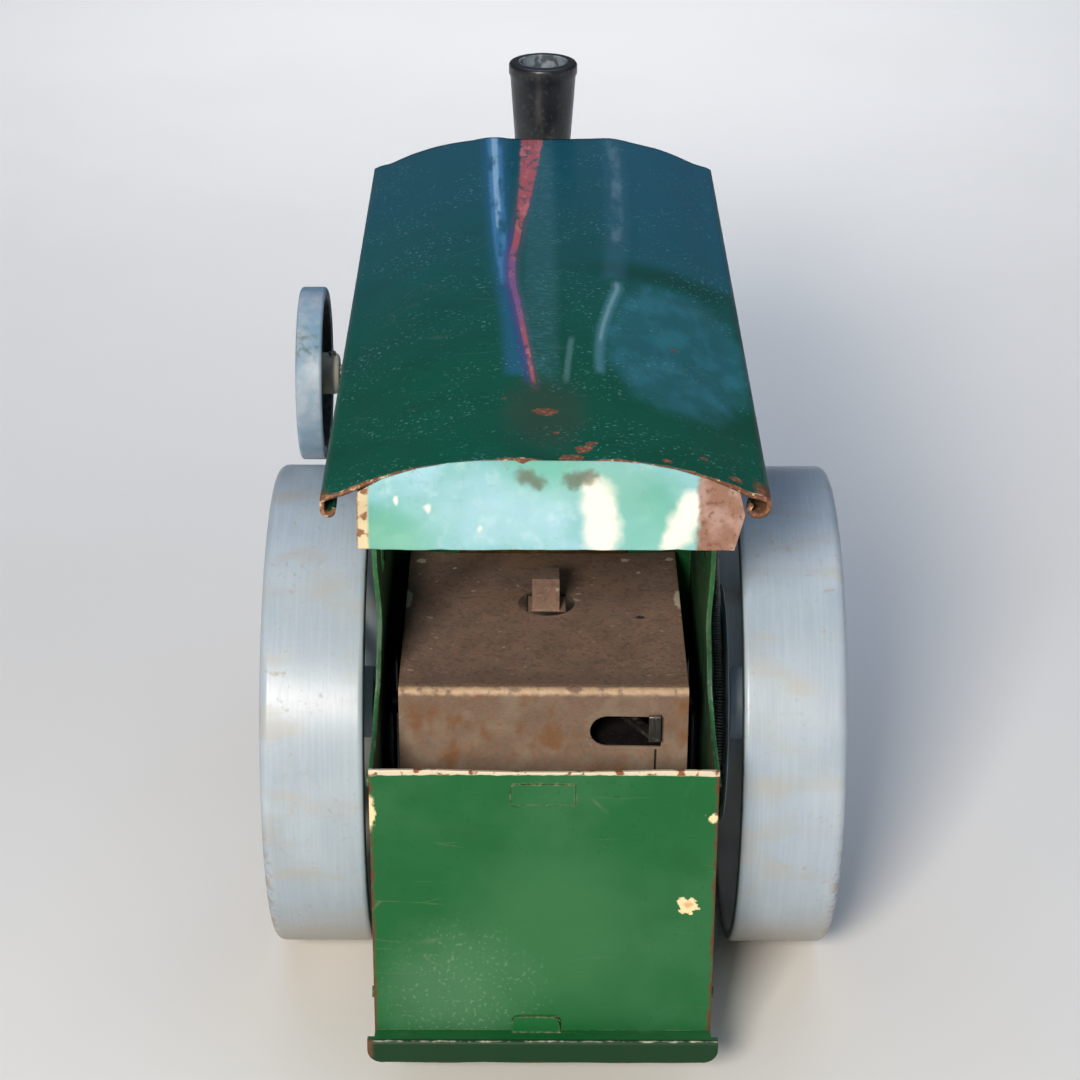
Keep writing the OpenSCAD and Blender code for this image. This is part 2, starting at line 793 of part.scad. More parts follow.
// Steam lever on the port block, on its own small pin
module control_lever() {
    lever_x0 = 11 + slip;
    color(steel)
    union() {
        x_bar(9.2, lever_x0 + 2.6, 1.0 - run, 92, 103, 32);
        x_bar(lever_x0, lever_x0 + 0.6, 2.2, 92, 103, 32);
        translate([lever_x0 + 1.4, 92, 103]) rotate([28, 0, 0]) union() {
            x_bar(0, 1.2, 2.4, 0, 0, 32);
            block([0, -1.2, 0], [1.2, 1.2, 15]);
            x_bar(-0.4, 1.6, 1.9, 0, 16, 32);
        }
    }
}

// A bar, a quarter bend and a second bar in the plane x = pipe_x
module bent_pipe(y0, z0, y1, z1, bend, r, down) {
    rise_end = z1 - bend;
    union() {
        z_bar(z0, rise_end, r, pipe_x, down ? y1 : y0, 32);
        translate([pipe_x, down ? y1 - bend : y0 + bend, rise_end]) rotate([90, 0, 90])
            rotate([0, 0, down ? 0 : 90]) rotate_extrude(angle = 90)
            translate([bend, 0]) circle(r = r, $fn = 32);
        y_bar(down ? y0 : y0 + bend, down ? y1 - bend : y1, r, pipe_x, z1, 32);
    }
}

module steam_pipe() color(copper) on_boiler() bent_pipe(80, 90, 88, 108, 3, 1.3, false);
module exhaust_pipe() {
    color(copper) on_boiler(smoke_r + 0.01) bent_pipe(108, 90, 126, 104, 3, 1.3, true);
}

module pipe_unions() {
    color(brass)
    difference() {
        on_boiler() union() {
            z_bar(88, 96.6, 2.7, pipe_x, 80, 6);
            y_bar(85.6, 88, 2.7, pipe_x, 108, 6);
            y_bar(108, 110.4, 2.7, pipe_x, 104, 6);
        }
        z_bar(88, 97, 1.3, pipe_x, 80, 32);
        y_bar(85, 88, 1.3, pipe_x, 108, 32);
        y_bar(108, 111, 1.3, pipe_x, 104, 32);
    }
}

// ---------- rear rollers ----------

module rear_axle() {
    color(steel)
    x_bar(-left_gap_x - hub_out - 2.4, right_gap_x + hub_out + 2.4, axle_r, 0, rear_r);
}

module axle_spacers() {
    color(brass)
    difference() {
        union() {
            x_bar(-left_gap_x - hub_in + slip, -half_w, 4.6, 0, rear_r);
            x_bar(half_w, pulley_x0 - slip, 4.6, 0, rear_r);
        }
        x_bar(-rear_r, rear_r, axle_r, 0, rear_r);
    }
}

module axle_nuts() {
    cap = [[axle_r, 0], [4.6, 0], [4.6, 1.6], [3.8, 2.6], [axle_r, 2.9]];
    color(brass)
    union() {
        turned_x(right_gap_x + hub_out + slip, 0, rear_r, cap);
        turned_x(-left_gap_x - hub_out - slip, 0, rear_r, cap, true);
    }
}

// A window between two spokes of a rear roller, as an outline about the axle
function spoke_window(i) =
    let (
        step = 360 / spokes,
        inner = 11.5,
        outer = rear_r - 5.5,
        half_spoke = 2.3,
        a_in = asin(half_spoke / inner),
        a_out = asin(half_spoke / outer)
    )
    concat(
        arc([0, 0], inner, i * step + a_in, (i + 1) * step - a_in, 4),
        arc([0, 0], outer, (i + 1) * step - a_out, i * step + a_out, 8)
    );

// Cast roller: smooth rim with rounded edges, spoked web and hub
module rear_roller(flip) {
    bore = axle_r + run;
    face = rear_r - 2.8;
    profile = concat(
        [[bore, hub_in], [8, hub_in], [8, 8.2], [10.5, 9], [face - 1.6, 9], [face - 0.4, 6]],
        [[face, 0.6]],
        arc([rear_r - 1.4, 1.4], 1.4, -90, 0, 5),
        arc([rear_r - 2, rear_w - 2], 2, 0, 90, 6),
        [[face, rear_w - 0.6], [face - 0.4, 15], [face - 1.6, 12], [10.5, 12], [8, 12.8]],
        [[8, hub_out - 0.8], [7.2, hub_out], [bore, hub_out]]
    );
    x_in = flip ? -left_gap_x : right_gap_x;
    color(blue_paint)
    difference() {
        turned_x(x_in, 0, rear_r, profile, flip);
        translate([0, 0, rear_r])
            side_plate(flip ? -left_gap_x - rear_w : right_gap_x + 5,
                       flip ? -left_gap_x - 5 : right_gap_x + rear_w)
            for (i = [0:spokes - 1]) polygon(spoke_window(i));
    }
}
module rear_roller_left() rear_roller(true);
module rear_roller_right() rear_roller(false);

// ---------- canopy ----------

roof_half = canopy_w / 2;
roof_flat = 11;
roof_bend = 59;
roof_edge_z = canopy_z - roof_bend + sqrt(pow(roof_bend, 2) - pow(roof_half - roof_flat, 2));
roof_lip = 3.7;

// Height of the canopy's underside above a point x
function under_roof(x) = let (run_x = max(abs(x) - roof_flat, 0))
    canopy_z - roof_bend + sqrt(pow(roof_bend - sheet_t, 2) - pow(run_x, 2));

// One side of the arched section at a given radius, from the edge inwards
function roof_side(r, x_edge) =
    let (a = acos((x_edge - roof_flat) / r)) arc([roof_flat, canopy_z - roof_bend], r, a, 90, 10);

function mirrored(points) = [for (i = [len(points) - 1:-1:0]) [-points[i][0], points[i][1]]];

module canopy_roof() {
    top = concat([[roof_half, roof_edge_z - roof_lip]], roof_side(roof_bend, roof_half));
    under = concat([[roof_half - sheet_t, roof_edge_z - roof_lip]],
                   roof_side(roof_bend - sheet_t, roof_half - sheet_t));
    top_line = concat(top, mirrored(top));
    under_line = concat(under, mirrored(under));
    color(roof_paint)
    cross_plate(roof_y0, roof_y1)
        polygon(concat(top_line, [for (i = [len(under_line) - 1:-1:0]) under_line[i]]));
}

// Arched rear plate under the canopy's back edge, with an ear along each rear post
module canopy_rear_bracket() {
    lean = 19;
    low_z = 126.7;
    low_y = -77.2;
    face = concat(
        [[-34.8, 0], [35.0, 0], [37.0, 6.5]],
        [for (x = [36:-6:-36]) [max(x, -34.8), (under_roof(x) - 0.2 - low_z) / cos(lean)]]
    );
    ear = [[low_y + 0.2, low_z + 1.4], [low_y + 2.9, low_z + 9.4], [-38, low_z + 9.4],
           [-37, low_z + 8.4], [-37, low_z + 2.4], [-38, low_z + 1.4]];
    color(green_paint)
    union() {
        translate([0, low_y, low_z]) rotate([90 - lean, 0, 0]) linear_extrude(sheet_t) polygon(face);
        side_plate(half_w, half_w + sheet_t) polygon(ear);
        side_plate(-half_w - sheet_t, -half_w) polygon(ear);
    }
}

// Band round the boiler with an arm to each front post
module canopy_front_yoke() {
    color(black_paint)
    difference() {
        union() {
            y_bar(post_y - 3, post_y + 3, boiler_r + 2, 0, boiler_z);
            block([-post_x - 3, post_y - 3, 84], [post_x + 3, post_y + 3, 87]);
        }
        y_bar(post_y - 4, post_y + 4, boiler_r + 0.01, 0, boiler_z);
    }
}

module canopy_posts() {
    post_r = 1.4;
    color(steel)
    for (side = [-1, 1])
        union() {
            z_bar(87, under_roof(post_x) - 0.9, post_r, side * post_x, post_y, 32);
            z_bar(87, 88.4, 2.6, side * post_x, post_y, 6);
            z_bar(82.6, 84, 2.6, side * post_x, post_y, 6);
            z_bar(under_roof(post_x) - 2.6, under_roof(post_x) - 1.2, 2.8, side * post_x, post_y, 32);
        }
}

// ---------- the whole roller, or one node of it ----------

place() hornplate_left();
place() hornplate_right();
place() bunker_back_panel();
place() bunker_floor();
place() side_rivets();
place() firebox_casing();
place() casing_peg();
place() damper_pivot();
place() damper_lever();
place() burner_tray();
place() tray_handle();
place() throat_plate();
place() boiler_shell();
place() boiler_end_caps();
place() boiler_bands();
place() level_plug();
place() safety_valve_body();
place() safety_valve_plunger();
place() whistle();
place() whistle_lever();
place() smokebox();
place() smokebox_door();
place() chimney_base();
place() chimney();
place() front_saddle();
place() kingpin();
place() front_fork();
place() front_axle();
place() front_roller_left();
place() front_roller_right();
place() crank_brackets();
place() bearing_bushes();
place() crankshaft_left();
place() crankshaft_right();
place() flywheel();
place() flywheel_screw();
place() crank_pulley();
place() drive_belt();
place() engine_bed();
place() port_block();
place() engine_cylinder();
place() cylinder_gland();
place() piston_rod();
place() big_end_bush();
place() pivot_spring();
place() pivot_nut();
place() control_lever();
place() steam_pipe();
place() exhaust_pipe();
place() pipe_unions();
place() rear_axle();
place() axle_spacers();
place() axle_nuts();
place() rear_roller_left();
place() rear_roller_right();
place() roller_pulley();
place() canopy_roof();
place() canopy_rear_bracket();
place() canopy_front_yoke();
place() canopy_posts();
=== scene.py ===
"""Dresses a toy live-steam road roller: dented enamelled tinplate, rusted firebox, brass and steel.

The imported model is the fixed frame. Sizes in the classes are millimetres, in the model's own frame:
X to the right, Y forward and Z up from the ground. Meshes are in metres.
"""

from __future__ import annotations

import json
import logging
import math
from dataclasses import dataclass, field
from enum import Enum
from typing import Callable, Sequence

import bmesh
import bpy
from mathutils import Matrix, Vector, noise


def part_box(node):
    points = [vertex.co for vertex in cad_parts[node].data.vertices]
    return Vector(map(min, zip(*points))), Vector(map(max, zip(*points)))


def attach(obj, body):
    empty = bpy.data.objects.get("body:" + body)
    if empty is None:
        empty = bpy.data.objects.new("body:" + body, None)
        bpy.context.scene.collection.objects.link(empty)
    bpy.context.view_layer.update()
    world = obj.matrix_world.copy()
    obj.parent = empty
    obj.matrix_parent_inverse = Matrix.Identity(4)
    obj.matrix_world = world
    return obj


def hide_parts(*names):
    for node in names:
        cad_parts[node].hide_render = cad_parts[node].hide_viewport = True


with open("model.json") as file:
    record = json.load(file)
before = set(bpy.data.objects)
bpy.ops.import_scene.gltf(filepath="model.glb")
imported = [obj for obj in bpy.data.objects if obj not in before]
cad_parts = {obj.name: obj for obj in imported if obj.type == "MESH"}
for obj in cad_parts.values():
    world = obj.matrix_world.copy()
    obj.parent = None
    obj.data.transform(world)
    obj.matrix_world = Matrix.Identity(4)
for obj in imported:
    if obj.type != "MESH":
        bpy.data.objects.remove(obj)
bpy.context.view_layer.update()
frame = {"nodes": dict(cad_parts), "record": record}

LOG = logging.getLogger("road_roller")
MM = 0.001
Mask = bpy.types.NodeSocket
Value = float | tuple | bpy.types.NodeSocket
Point = tuple[float, float, float]

RAMP = "ShaderNodeMapRange"
MATH = "ShaderNodeMath"
VECTOR = "ShaderNodeVectorMath"
MIX = "ShaderNodeMix"


class Body(Enum):
    """The CAD bodies that new pieces ride on."""

    CHASSIS = "chassis"
    CYLINDER = "cylinder"


class Slot(Enum):
    """The record's material slots."""

    GREEN_BODY = "green_body"
    GREEN_ROOF = "green_roof"
    ROLLER = "roller_paint"
    RUST = "rusty_sheet"
    BLACK = "black_paint"
    BRASS = "brass"
    COPPER = "copper"
    STEEL = "bright_steel"
    TIN = "tinplate"
    SPRING = "spring_steel"


def linear(hex_colour: str) -> tuple[float, float, float, float]:
    """Turns an sRGB hex colour into linear light.

    Args:
        hex_colour: Six hex digits after a hash sign.

    Returns:
        Linear red, green, blue and an alpha of one.
    """
    parts = [int(hex_colour[i:i + 2], 16) / 255 for i in (1, 3, 5)]
    lit = [c / 12.92 if c <= 0.04045 else ((c + 0.055) / 1.055) ** 2.4 for c in parts]
    return (lit[0], lit[1], lit[2], 1.0)


def smooth(value: float, low: float, high: float) -> float:
    """Rises smoothly from 0 at low to 1 at high.

    Args:
        value: Where to read the step.
        low: Start of the rise.
        high: End of the rise.

    Returns:
        A share from 0 to 1.
    """
    t = min(1.0, max(0.0, (value - low) / (high - low)))
    return t * t * (3 - 2 * t)


def bump(x: float, y: float, centre: tuple[float, float], reach: tuple[float, float]) -> float:
    """A soft round bump, 1 at its centre and near 0 past its reach.

    Args:
        x: First coordinate.
        y: Second coordinate.
        centre: The bump's centre.
        reach: Its half sizes.

    Returns:
        The bump's height share.
    """
    return math.exp(-(((x - centre[0]) / reach[0]) ** 2 + ((y - centre[1]) / reach[1]) ** 2))


def follow(points: Sequence[tuple[float, float]], at: float) -> float:
    """Reads a line given by listed points, straight between them.

    Args:
        points: Pairs of position and value, in rising order.
        at: The position to read.

    Returns:
        The value there.
    """
    for (a, va), (b, vb) in zip(points, points[1:]):
        if at <= b:
            return va + (vb - va) * max(0.0, at - a) / (b - a)
    return points[-1][1]


class Surface:
    """One procedural material: a base coat, with marks and further coats laid over it by masks."""

    def __init__(self, name: str, colour: str, roughness: float, metallic: float = 0.0) -> None:
        """Starts with one even coat.

        Args:
            name: The material's name.
            colour: sRGB hex of the coat.
            roughness: Its roughness.
            metallic: 1 for bare metal.
        """
        self.material = bpy.data.materials.new(name)
        self.material.use_nodes = True
        self.tree = self.material.node_tree
        self.tree.nodes.clear()
        metres = self.add("ShaderNodeTexCoord", out="Object")
        self.mm = self.add(VECTOR, {0: metres, "Scale": 1 / MM}, operation="SCALE")
        split = self.add("ShaderNodeSeparateXYZ", {0: self.mm}, out=None)
        self.x, self.y, self.z = split.outputs
        self.colour: Value = linear(colour)
        self.roughness: Value = roughness
        self.metallic: Value = metallic
        self.height: Value = 0.0

    def add(self, kind: str, inputs: dict | None = None, out: int | str | None = 0, **settings):
        """Adds a node with its settings and links.

        Args:
            kind: The node's type.
            inputs: Socket name or number to a value or to a socket to link.
            out: Which output to return, or None for the node itself.
            **settings: The node's own properties.

        Returns:
            The output socket, or the node.
        """
        node = self.tree.nodes.new(kind)
        for key, value in settings.items():
            setattr(node, key, value)
        for key, value in (inputs or {}).items():
            if isinstance(value, bpy.types.NodeSocket):
                self.tree.links.new(value, node.inputs[key])
            else:
                node.inputs[key].default_value = value
        return node if out is None else node.outputs[out]

    def patches(self, size: float, low: float, high: float, seed: float = 0.0,
                stretch: Point = (1, 1, 1), detail: float = 3.0) -> Mask:
        """Cloudy patches.

        Args:
            size: Their size in mm.
            low: Noise level that is still outside.
            high: Noise level that is fully inside.
            seed: Shifts the pattern.
            stretch: Below 1 lengthens the patches along that axis.
            detail: Octaves of finer detail.

        Returns:
            A mask from 0 to 1.
        """
        placed = self.add("ShaderNodeMapping", {0: self.mm, 1: (seed, 1.7 * seed, -seed), 3: stretch})
        cloud = self.add("ShaderNodeTexNoise", {"Vector": placed, "Scale": 1 / size, "Detail": detail})
        return self.add(RAMP, {0: cloud, 1: low, 2: high}, interpolation_type="SMOOTHSTEP")

    def scratches(self, spacing: float, width: float, seed: float, stretch: Point,
                  tilt: float = 0.0) -> Mask:
        """Long thin scratches that fade in and out.

        Args:
            spacing: Distance between them in mm.
            width: Their width as a share of the spacing.
            seed: Shifts the pattern.
            stretch: Below 1 lengthens them along that axis.
            tilt: Turns them about Z, in radians.

        Returns:
            A mask from 0 to 1.
        """
        wavy = self.add("ShaderNodeTexNoise", {"Vector": self.mm, "Scale": 0.08, "Detail": 1.0}, out=1)
        bent = self.add(VECTOR, {0: wavy, 1: (2, 2, 2), 2: self.mm}, operation="MULTIPLY_ADD")
        placed = self.add("ShaderNodeMapping",
                          {0: bent, 1: (seed, seed, seed), 2: (0, 0, tilt), 3: stretch})
        cells = self.add("ShaderNodeTexVoronoi", {"Vector": placed, "Scale": 1 / spacing},
                         feature="DISTANCE_TO_EDGE")
        line = self.add(RAMP, {0: cells, 1: width, 2: width * 0.3}, interpolation_type="SMOOTHSTEP")
        return self.both(line, self.patches(spacing * 1.5, 0.5, 0.66, seed + 5))

    def both(self, first: Mask, second: Mask) -> Mask:
        """Where both masks hold."""
        return self.add(MATH, {0: first, 1: second}, operation="MULTIPLY")

    def either(self, first: Mask, second: Mask) -> Mask:
        """Where at least one mask holds."""
        return self.add(MATH, {0: first, 1: second}, operation="MAXIMUM")

    def spot(self, centre: Point, reach: float, soft: float, ragged: float = 0.0, grain: float = 1.0,
             squeeze: Point = (1, 1, 1)) -> Mask:
        """A mark round a point, or along a line where squeeze is 0 on an axis.

        Args:
            centre: Its centre in mm.
            reach: Its radius in mm.
            soft: Width of its soft border in mm.
            ragged: How far its outline wanders in mm.
            grain: Size of that wandering in mm.
            squeeze: Scale of each axis before the distance is taken.

        Returns:
            A mask from 0 to 1.
        """
        where = self.mm
        if ragged:
            stray = self.add("ShaderNodeTexNoise", {"Vector": self.mm, "Scale": 1 / grain, "Detail": 2.0},
                             out=1)
            level = self.add(VECTOR, {0: stray, 1: (0.5, 0.5, 0.5)}, operation="SUBTRACT")
            where = self.add(VECTOR, {0: level, 1: (2 * ragged,) * 3, 2: self.mm}, operation="MULTIPLY_ADD")
        flat = self.add(VECTOR, {0: where, 1: squeeze}, operation="MULTIPLY")
        to = tuple(c * s for c, s in zip(centre, squeeze))
        away = self.add(VECTOR, {0: flat, 1: to}, out="Value", operation="DISTANCE")
        return self.add(RAMP, {0: away, 1: reach + soft, 2: reach}, interpolation_type="SMOOTHSTEP")

    def beyond(self, coordinate, edge: float, soft: float, ragged: float = 0.0, grain: float = 3.0) -> Mask:
        """The side of a line: 1 past edge along a coordinate, or before it where soft is negative.

        Args:
            coordinate: The X, Y or Z socket.
            edge: Where the line lies in mm.
            soft: Width of the change in mm, negative to turn it round.
            ragged: How far the line wanders in mm.
            grain: Size of that wandering in mm.

        Returns:
            A mask from 0 to 1.
        """
        if ragged:
            stray = self.add("ShaderNodeTexNoise", {"Vector": self.mm, "Scale": 1 / grain, "Detail": 4.0})
            coordinate = self.add(MATH, {0: stray, 1: 2 * ragged, 2: coordinate}, operation="MULTIPLY_ADD")
            edge += ragged
        return self.add(RAMP, {0: coordinate, 1: edge, 2: edge + soft}, interpolation_type="SMOOTHSTEP")

    def track(self, points: Sequence[tuple[float, float]], ends: tuple[float, float],
              halves: tuple[float, float], soft: float) -> Mask:
        """A wandering line that runs forward over a sheet.

        Args:
            points: Pairs of Y and X in mm, in rising Y.
            ends: The Y values between which it shows.
            halves: Half its width in mm at the line's first and last points.
            soft: Width of its soft border in mm.

        Returns:
            A mask from 0 to 1.
        """
        low, high = points[0][0], points[-1][0]
        left, right = min(p[1] for p in points) - 1, max(p[1] for p in points) + 1
        share = self.add(RAMP, {0: self.y, 1: low, 2: high})
        bend = self.add("ShaderNodeFloatCurve", {1: share}, out=None)
        curve = bend.mapping.curves[0]
        while len(curve.points) < len(points):
            curve.points.new(0.5, 0.5)
        for knot, (y, x) in zip(curve.points, points):
            knot.location = ((y - low) / (high - low), (x - left) / (right - left))
        bend.mapping.update()
        line = self.add(MATH, {0: bend.outputs[0], 1: right - left, 2: left}, operation="MULTIPLY_ADD")
        apart = self.add(MATH, {0: self.x, 1: line}, operation="SUBTRACT")
        off = self.add(MATH, {0: apart}, operation="ABSOLUTE")
        half = self.add(RAMP, {0: self.y, 1: low, 2: high, 3: halves[0], 4: halves[1]})
        stray = self.add("ShaderNodeTexNoise", {"Vector": self.mm, "Scale": 0.7, "Detail": 3.0})
        half = self.add(MATH, {0: half, 1: self.add(MATH, {0: stray, 1: 0.8}, operation="ADD")},
                        operation="MULTIPLY")
        beside = self.add(MATH, {0: off, 1: half}, operation="SUBTRACT")
        across = self.add(RAMP, {0: beside, 1: soft, 2: 0.0}, interpolation_type="SMOOTHSTEP")
        start = self.beyond(self.y, ends[0], 4.0)
        return self.both(across, self.both(start, self.beyond(self.y, ends[1], -4.0)))

    def edges(self, width: float, low: float, high: float) -> Mask:
        """Sharp outside and inside edges, where paint thins and dirt sits.

        Args:
            width: How wide a strip beside the edge counts, in mm.
            low: Turn of the surface that is still outside the mask.
            high: Turn that is fully inside.

        Returns:
            A mask from 0 to 1.
        """
        rounded = self.add("ShaderNodeBevel", {"Radius": width * MM}, samples=3)
        plain = self.add("ShaderNodeNewGeometry", out="Normal")
        same = self.add(VECTOR, {0: rounded, 1: plain}, out="Value", operation="DOT_PRODUCT")
        ragged = self.patches(1.4, 0.3, 0.7, 9.0)
        worn = self.add(MATH, {0: ragged, 1: 0.12, 2: same}, operation="MULTIPLY_ADD")
        return self.add(RAMP, {0: worn, 1: 1 - low, 2: 1 - high}, interpolation_type="SMOOTHSTEP")

    def lay(self, mask: Mask, colour: str | None = None, roughness: float | None = None,
            metallic: float | None = None, lift: float = 0.0, share: float = 1.0) -> None:
        """Lays a coat or a mark over what is there.

        Args:
            mask: Where it lies, from 0 to 1.
            colour: sRGB hex of the coat.
            roughness: Its roughness.
            metallic: Its metallic share.
            lift: How far it stands up in mm, negative for a pit.
            share: How much of the mask's strength counts.
        """
        if share != 1.0:
            mask = self.thin(mask, share)
        if colour is not None:
            self.colour = self.add(MIX, {0: mask, 6: self.colour, 7: linear(colour)}, out=2,
                                   data_type="RGBA")
        if roughness is not None:
            self.roughness = self.add(MIX, {0: mask, 2: self.roughness, 3: roughness})
        if metallic is not None:
            self.metallic = self.add(MIX, {0: mask, 2: self.metallic, 3: metallic})
        if lift:
            self.height = self.add(MATH, {0: mask, 1: lift * MM, 2: self.height}, operation="MULTIPLY_ADD")

    def thin(self, mask: Mask, share: float) -> Mask:
        """The same mask at a share of its strength."""
        return self.add(MATH, {0: mask, 1: share}, operation="MULTIPLY")

    def done(self, coat: float = 0.0, coat_roughness: float = 0.1,
             specular: float = 0.5) -> bpy.types.Material:
        """Joins everything to the shader.

        Args:
            coat: Clear gloss over the coat, from 0 to 1.
            coat_roughness: That gloss's roughness.
            specular: How strongly the coat itself mirrors.

        Returns:
            The finished material.
        """
        inputs = {"Base Color": self.colour, "Roughness": self.roughness, "Metallic": self.metallic,
                  "Coat Weight": coat, "Coat Roughness": coat_roughness, "Specular IOR Level": specular}
        if isinstance(self.height, bpy.types.NodeSocket):
            inputs["Normal"] = self.add("ShaderNodeBump", {"Height": self.height, "Distance": 1.0})
        shader = self.add("ShaderNodeBsdfPrincipled", inputs)
        self.add("ShaderNodeOutputMaterial", {0: shader}, out=None)
        return self.material


@dataclass(frozen=True)
class Enamel:
    """Enamel sprayed on sheet steel: it fades in clouds, scuffs dull and chips to rust at the edges."""

    name: str
    paint: str
    faded: str
    deep: str
    roughness: float
    coat: float
    coat_roughness: float = 0.12
    chip: str = "#B7A287"
    rust: str = "#6B4630"
    edge_width: float = 0.5
    fade_size: float = 22.0
    specular: float = 0.35

    def start(self) -> Surface:
        """Lays the paint with its clouds, orange-peel, scuffs and worn edges.

        Returns:
            The surface, ready for the piece's own marks.
        """
        paint = Surface(self.name, self.paint, self.roughness)
        paint.lay(paint.patches(self.fade_size, 0.38, 0.72, 1.0), self.faded)
        paint.lay(paint.patches(self.fade_size * 0.6, 0.45, 0.75, 7.0), self.deep, share=0.6)
        # orange-peel of sprayed enamel: ripples about 0.7 mm across
        paint.lay(paint.patches(0.7, 0.2, 0.8, 2.0), lift=0.006)
        paint.lay(paint.scratches(4.0, 0.022, 3.0, (1, 0.08, 0.2), 0.5), self.faded, self.roughness + 0.15,
                  lift=-0.006, share=0.22)
        paint.lay(paint.scratches(7.0, 0.012, 11.0, (0.12, 1, 1), -0.3), self.chip, share=0.1)
        paint.lay(paint.patches(1.1, 0.66, 0.72, 4.0, detail=1.0), self.deep, share=0.5)
        edge = paint.edges(self.edge_width, 0.10, 0.34)
        paint.lay(edge, self.rust, 0.75, lift=-0.02)
        paint.lay(paint.both(edge, paint.patches(1.0, 0.45, 0.6, 5.0)), self.chip, 0.5, 0.3)
        return paint

    def material(self) -> bpy.types.Material:
        """The paint with no marks of its own."""
        return self.start().done(self.coat, self.coat_roughness, self.specular)


@dataclass(frozen=True)
class BareMetal:
    """Metal left bare, turned, drawn or rolled: fine tool marks under smears of tarnish."""

    name: str
    metal: str
    tarnish: str
    dirt: str
    roughness: float
    line_spacing: float = 0.35
    lines: Point = (1, 0.08, 0.08)
    tarnish_share: float = 0.7

    def material(self) -> bpy.types.Material:
        """Mixes the metal.

        Returns:
            The finished material.
        """
        bare = Surface(self.name, self.metal, self.roughness, 1.0)
        bare.lay(bare.patches(7.0, 0.36, 0.66, 1.0), self.tarnish, self.roughness + 0.14,
                 share=self.tarnish_share)
        # tool marks are finer than this in truth; drawn this coarse so that they show
        bare.lay(bare.patches(self.line_spacing, 0.35, 0.65, 3.0, self.lines, 1.0),
                 roughness=self.roughness + 0.1, lift=0.004)
        bare.lay(bare.patches(2.2, 0.58, 0.72, 6.0), self.dirt, 0.65, 0.5, share=0.7)
        bare.lay(bare.edges(0.5, 0.1, 0.4), self.dirt, 0.6, 0.6, share=0.6)
        return bare.done()


ROOF_GREEN = Enamel("dipped_gloss_enamel_dark_green", "#005340", "#005744", "#004837", 0.3, 0.08, 0.14,
                    rust="#5E4234", edge_width=0.9, specular=0.15)
BODY_GREEN = Enamel("sprayed_enamel_mid_green", "#135B2D", "#28643B", "#0E5327", 0.5, 0.05, 0.2,
                    rust="#4E3824", edge_width=0.7, specular=0.22)
ROLLER_BLUE = Enamel("sprayed_enamel_blue_grey", "#9FAEBC", "#A9B6C1", "#94A4B3", 0.36, 0.1, 0.3,
                     chip="#8A7A68", rust="#7A5A42", edge_width=0.4, specular=0.5)
STOVE_BLACK = Enamel("stoved_black_enamel", "#16181C", "#26292E", "#0C0D10", 0.38, 0.25, 0.25,
                     chip="#55504A", rust="#3A2C22", edge_width=0.4)
# turned brass goes warm brown where fingers and steam have been
TURNED_BRASS = BareMetal("turned_brass_tarnished", "#C2A05A", "#7E6233", "#3E3020", 0.3)
DRAWN_COPPER = BareMetal("drawn_copper_tube", "#B9714A", "#7A4630", "#35241C", 0.32, 0.5, (1, 1, 1))
TURNED_STEEL = BareMetal("turned_mild_steel", "#A9A8A4", "#7E7B76", "#4C3F33", 0.32)
TINNED_SHEET = BareMetal("rolled_tinned_sheet_sooty", "#A39F97", "#6A655C", "#2C2723", 0.4, 0.6,
                         (0.1, 1, 1))
SPRING_WIRE = BareMetal("drawn_spring_wire", "#9C9A96", "#6B6660", "#3A302A", 0.35, 0.4, (1, 1, 1))


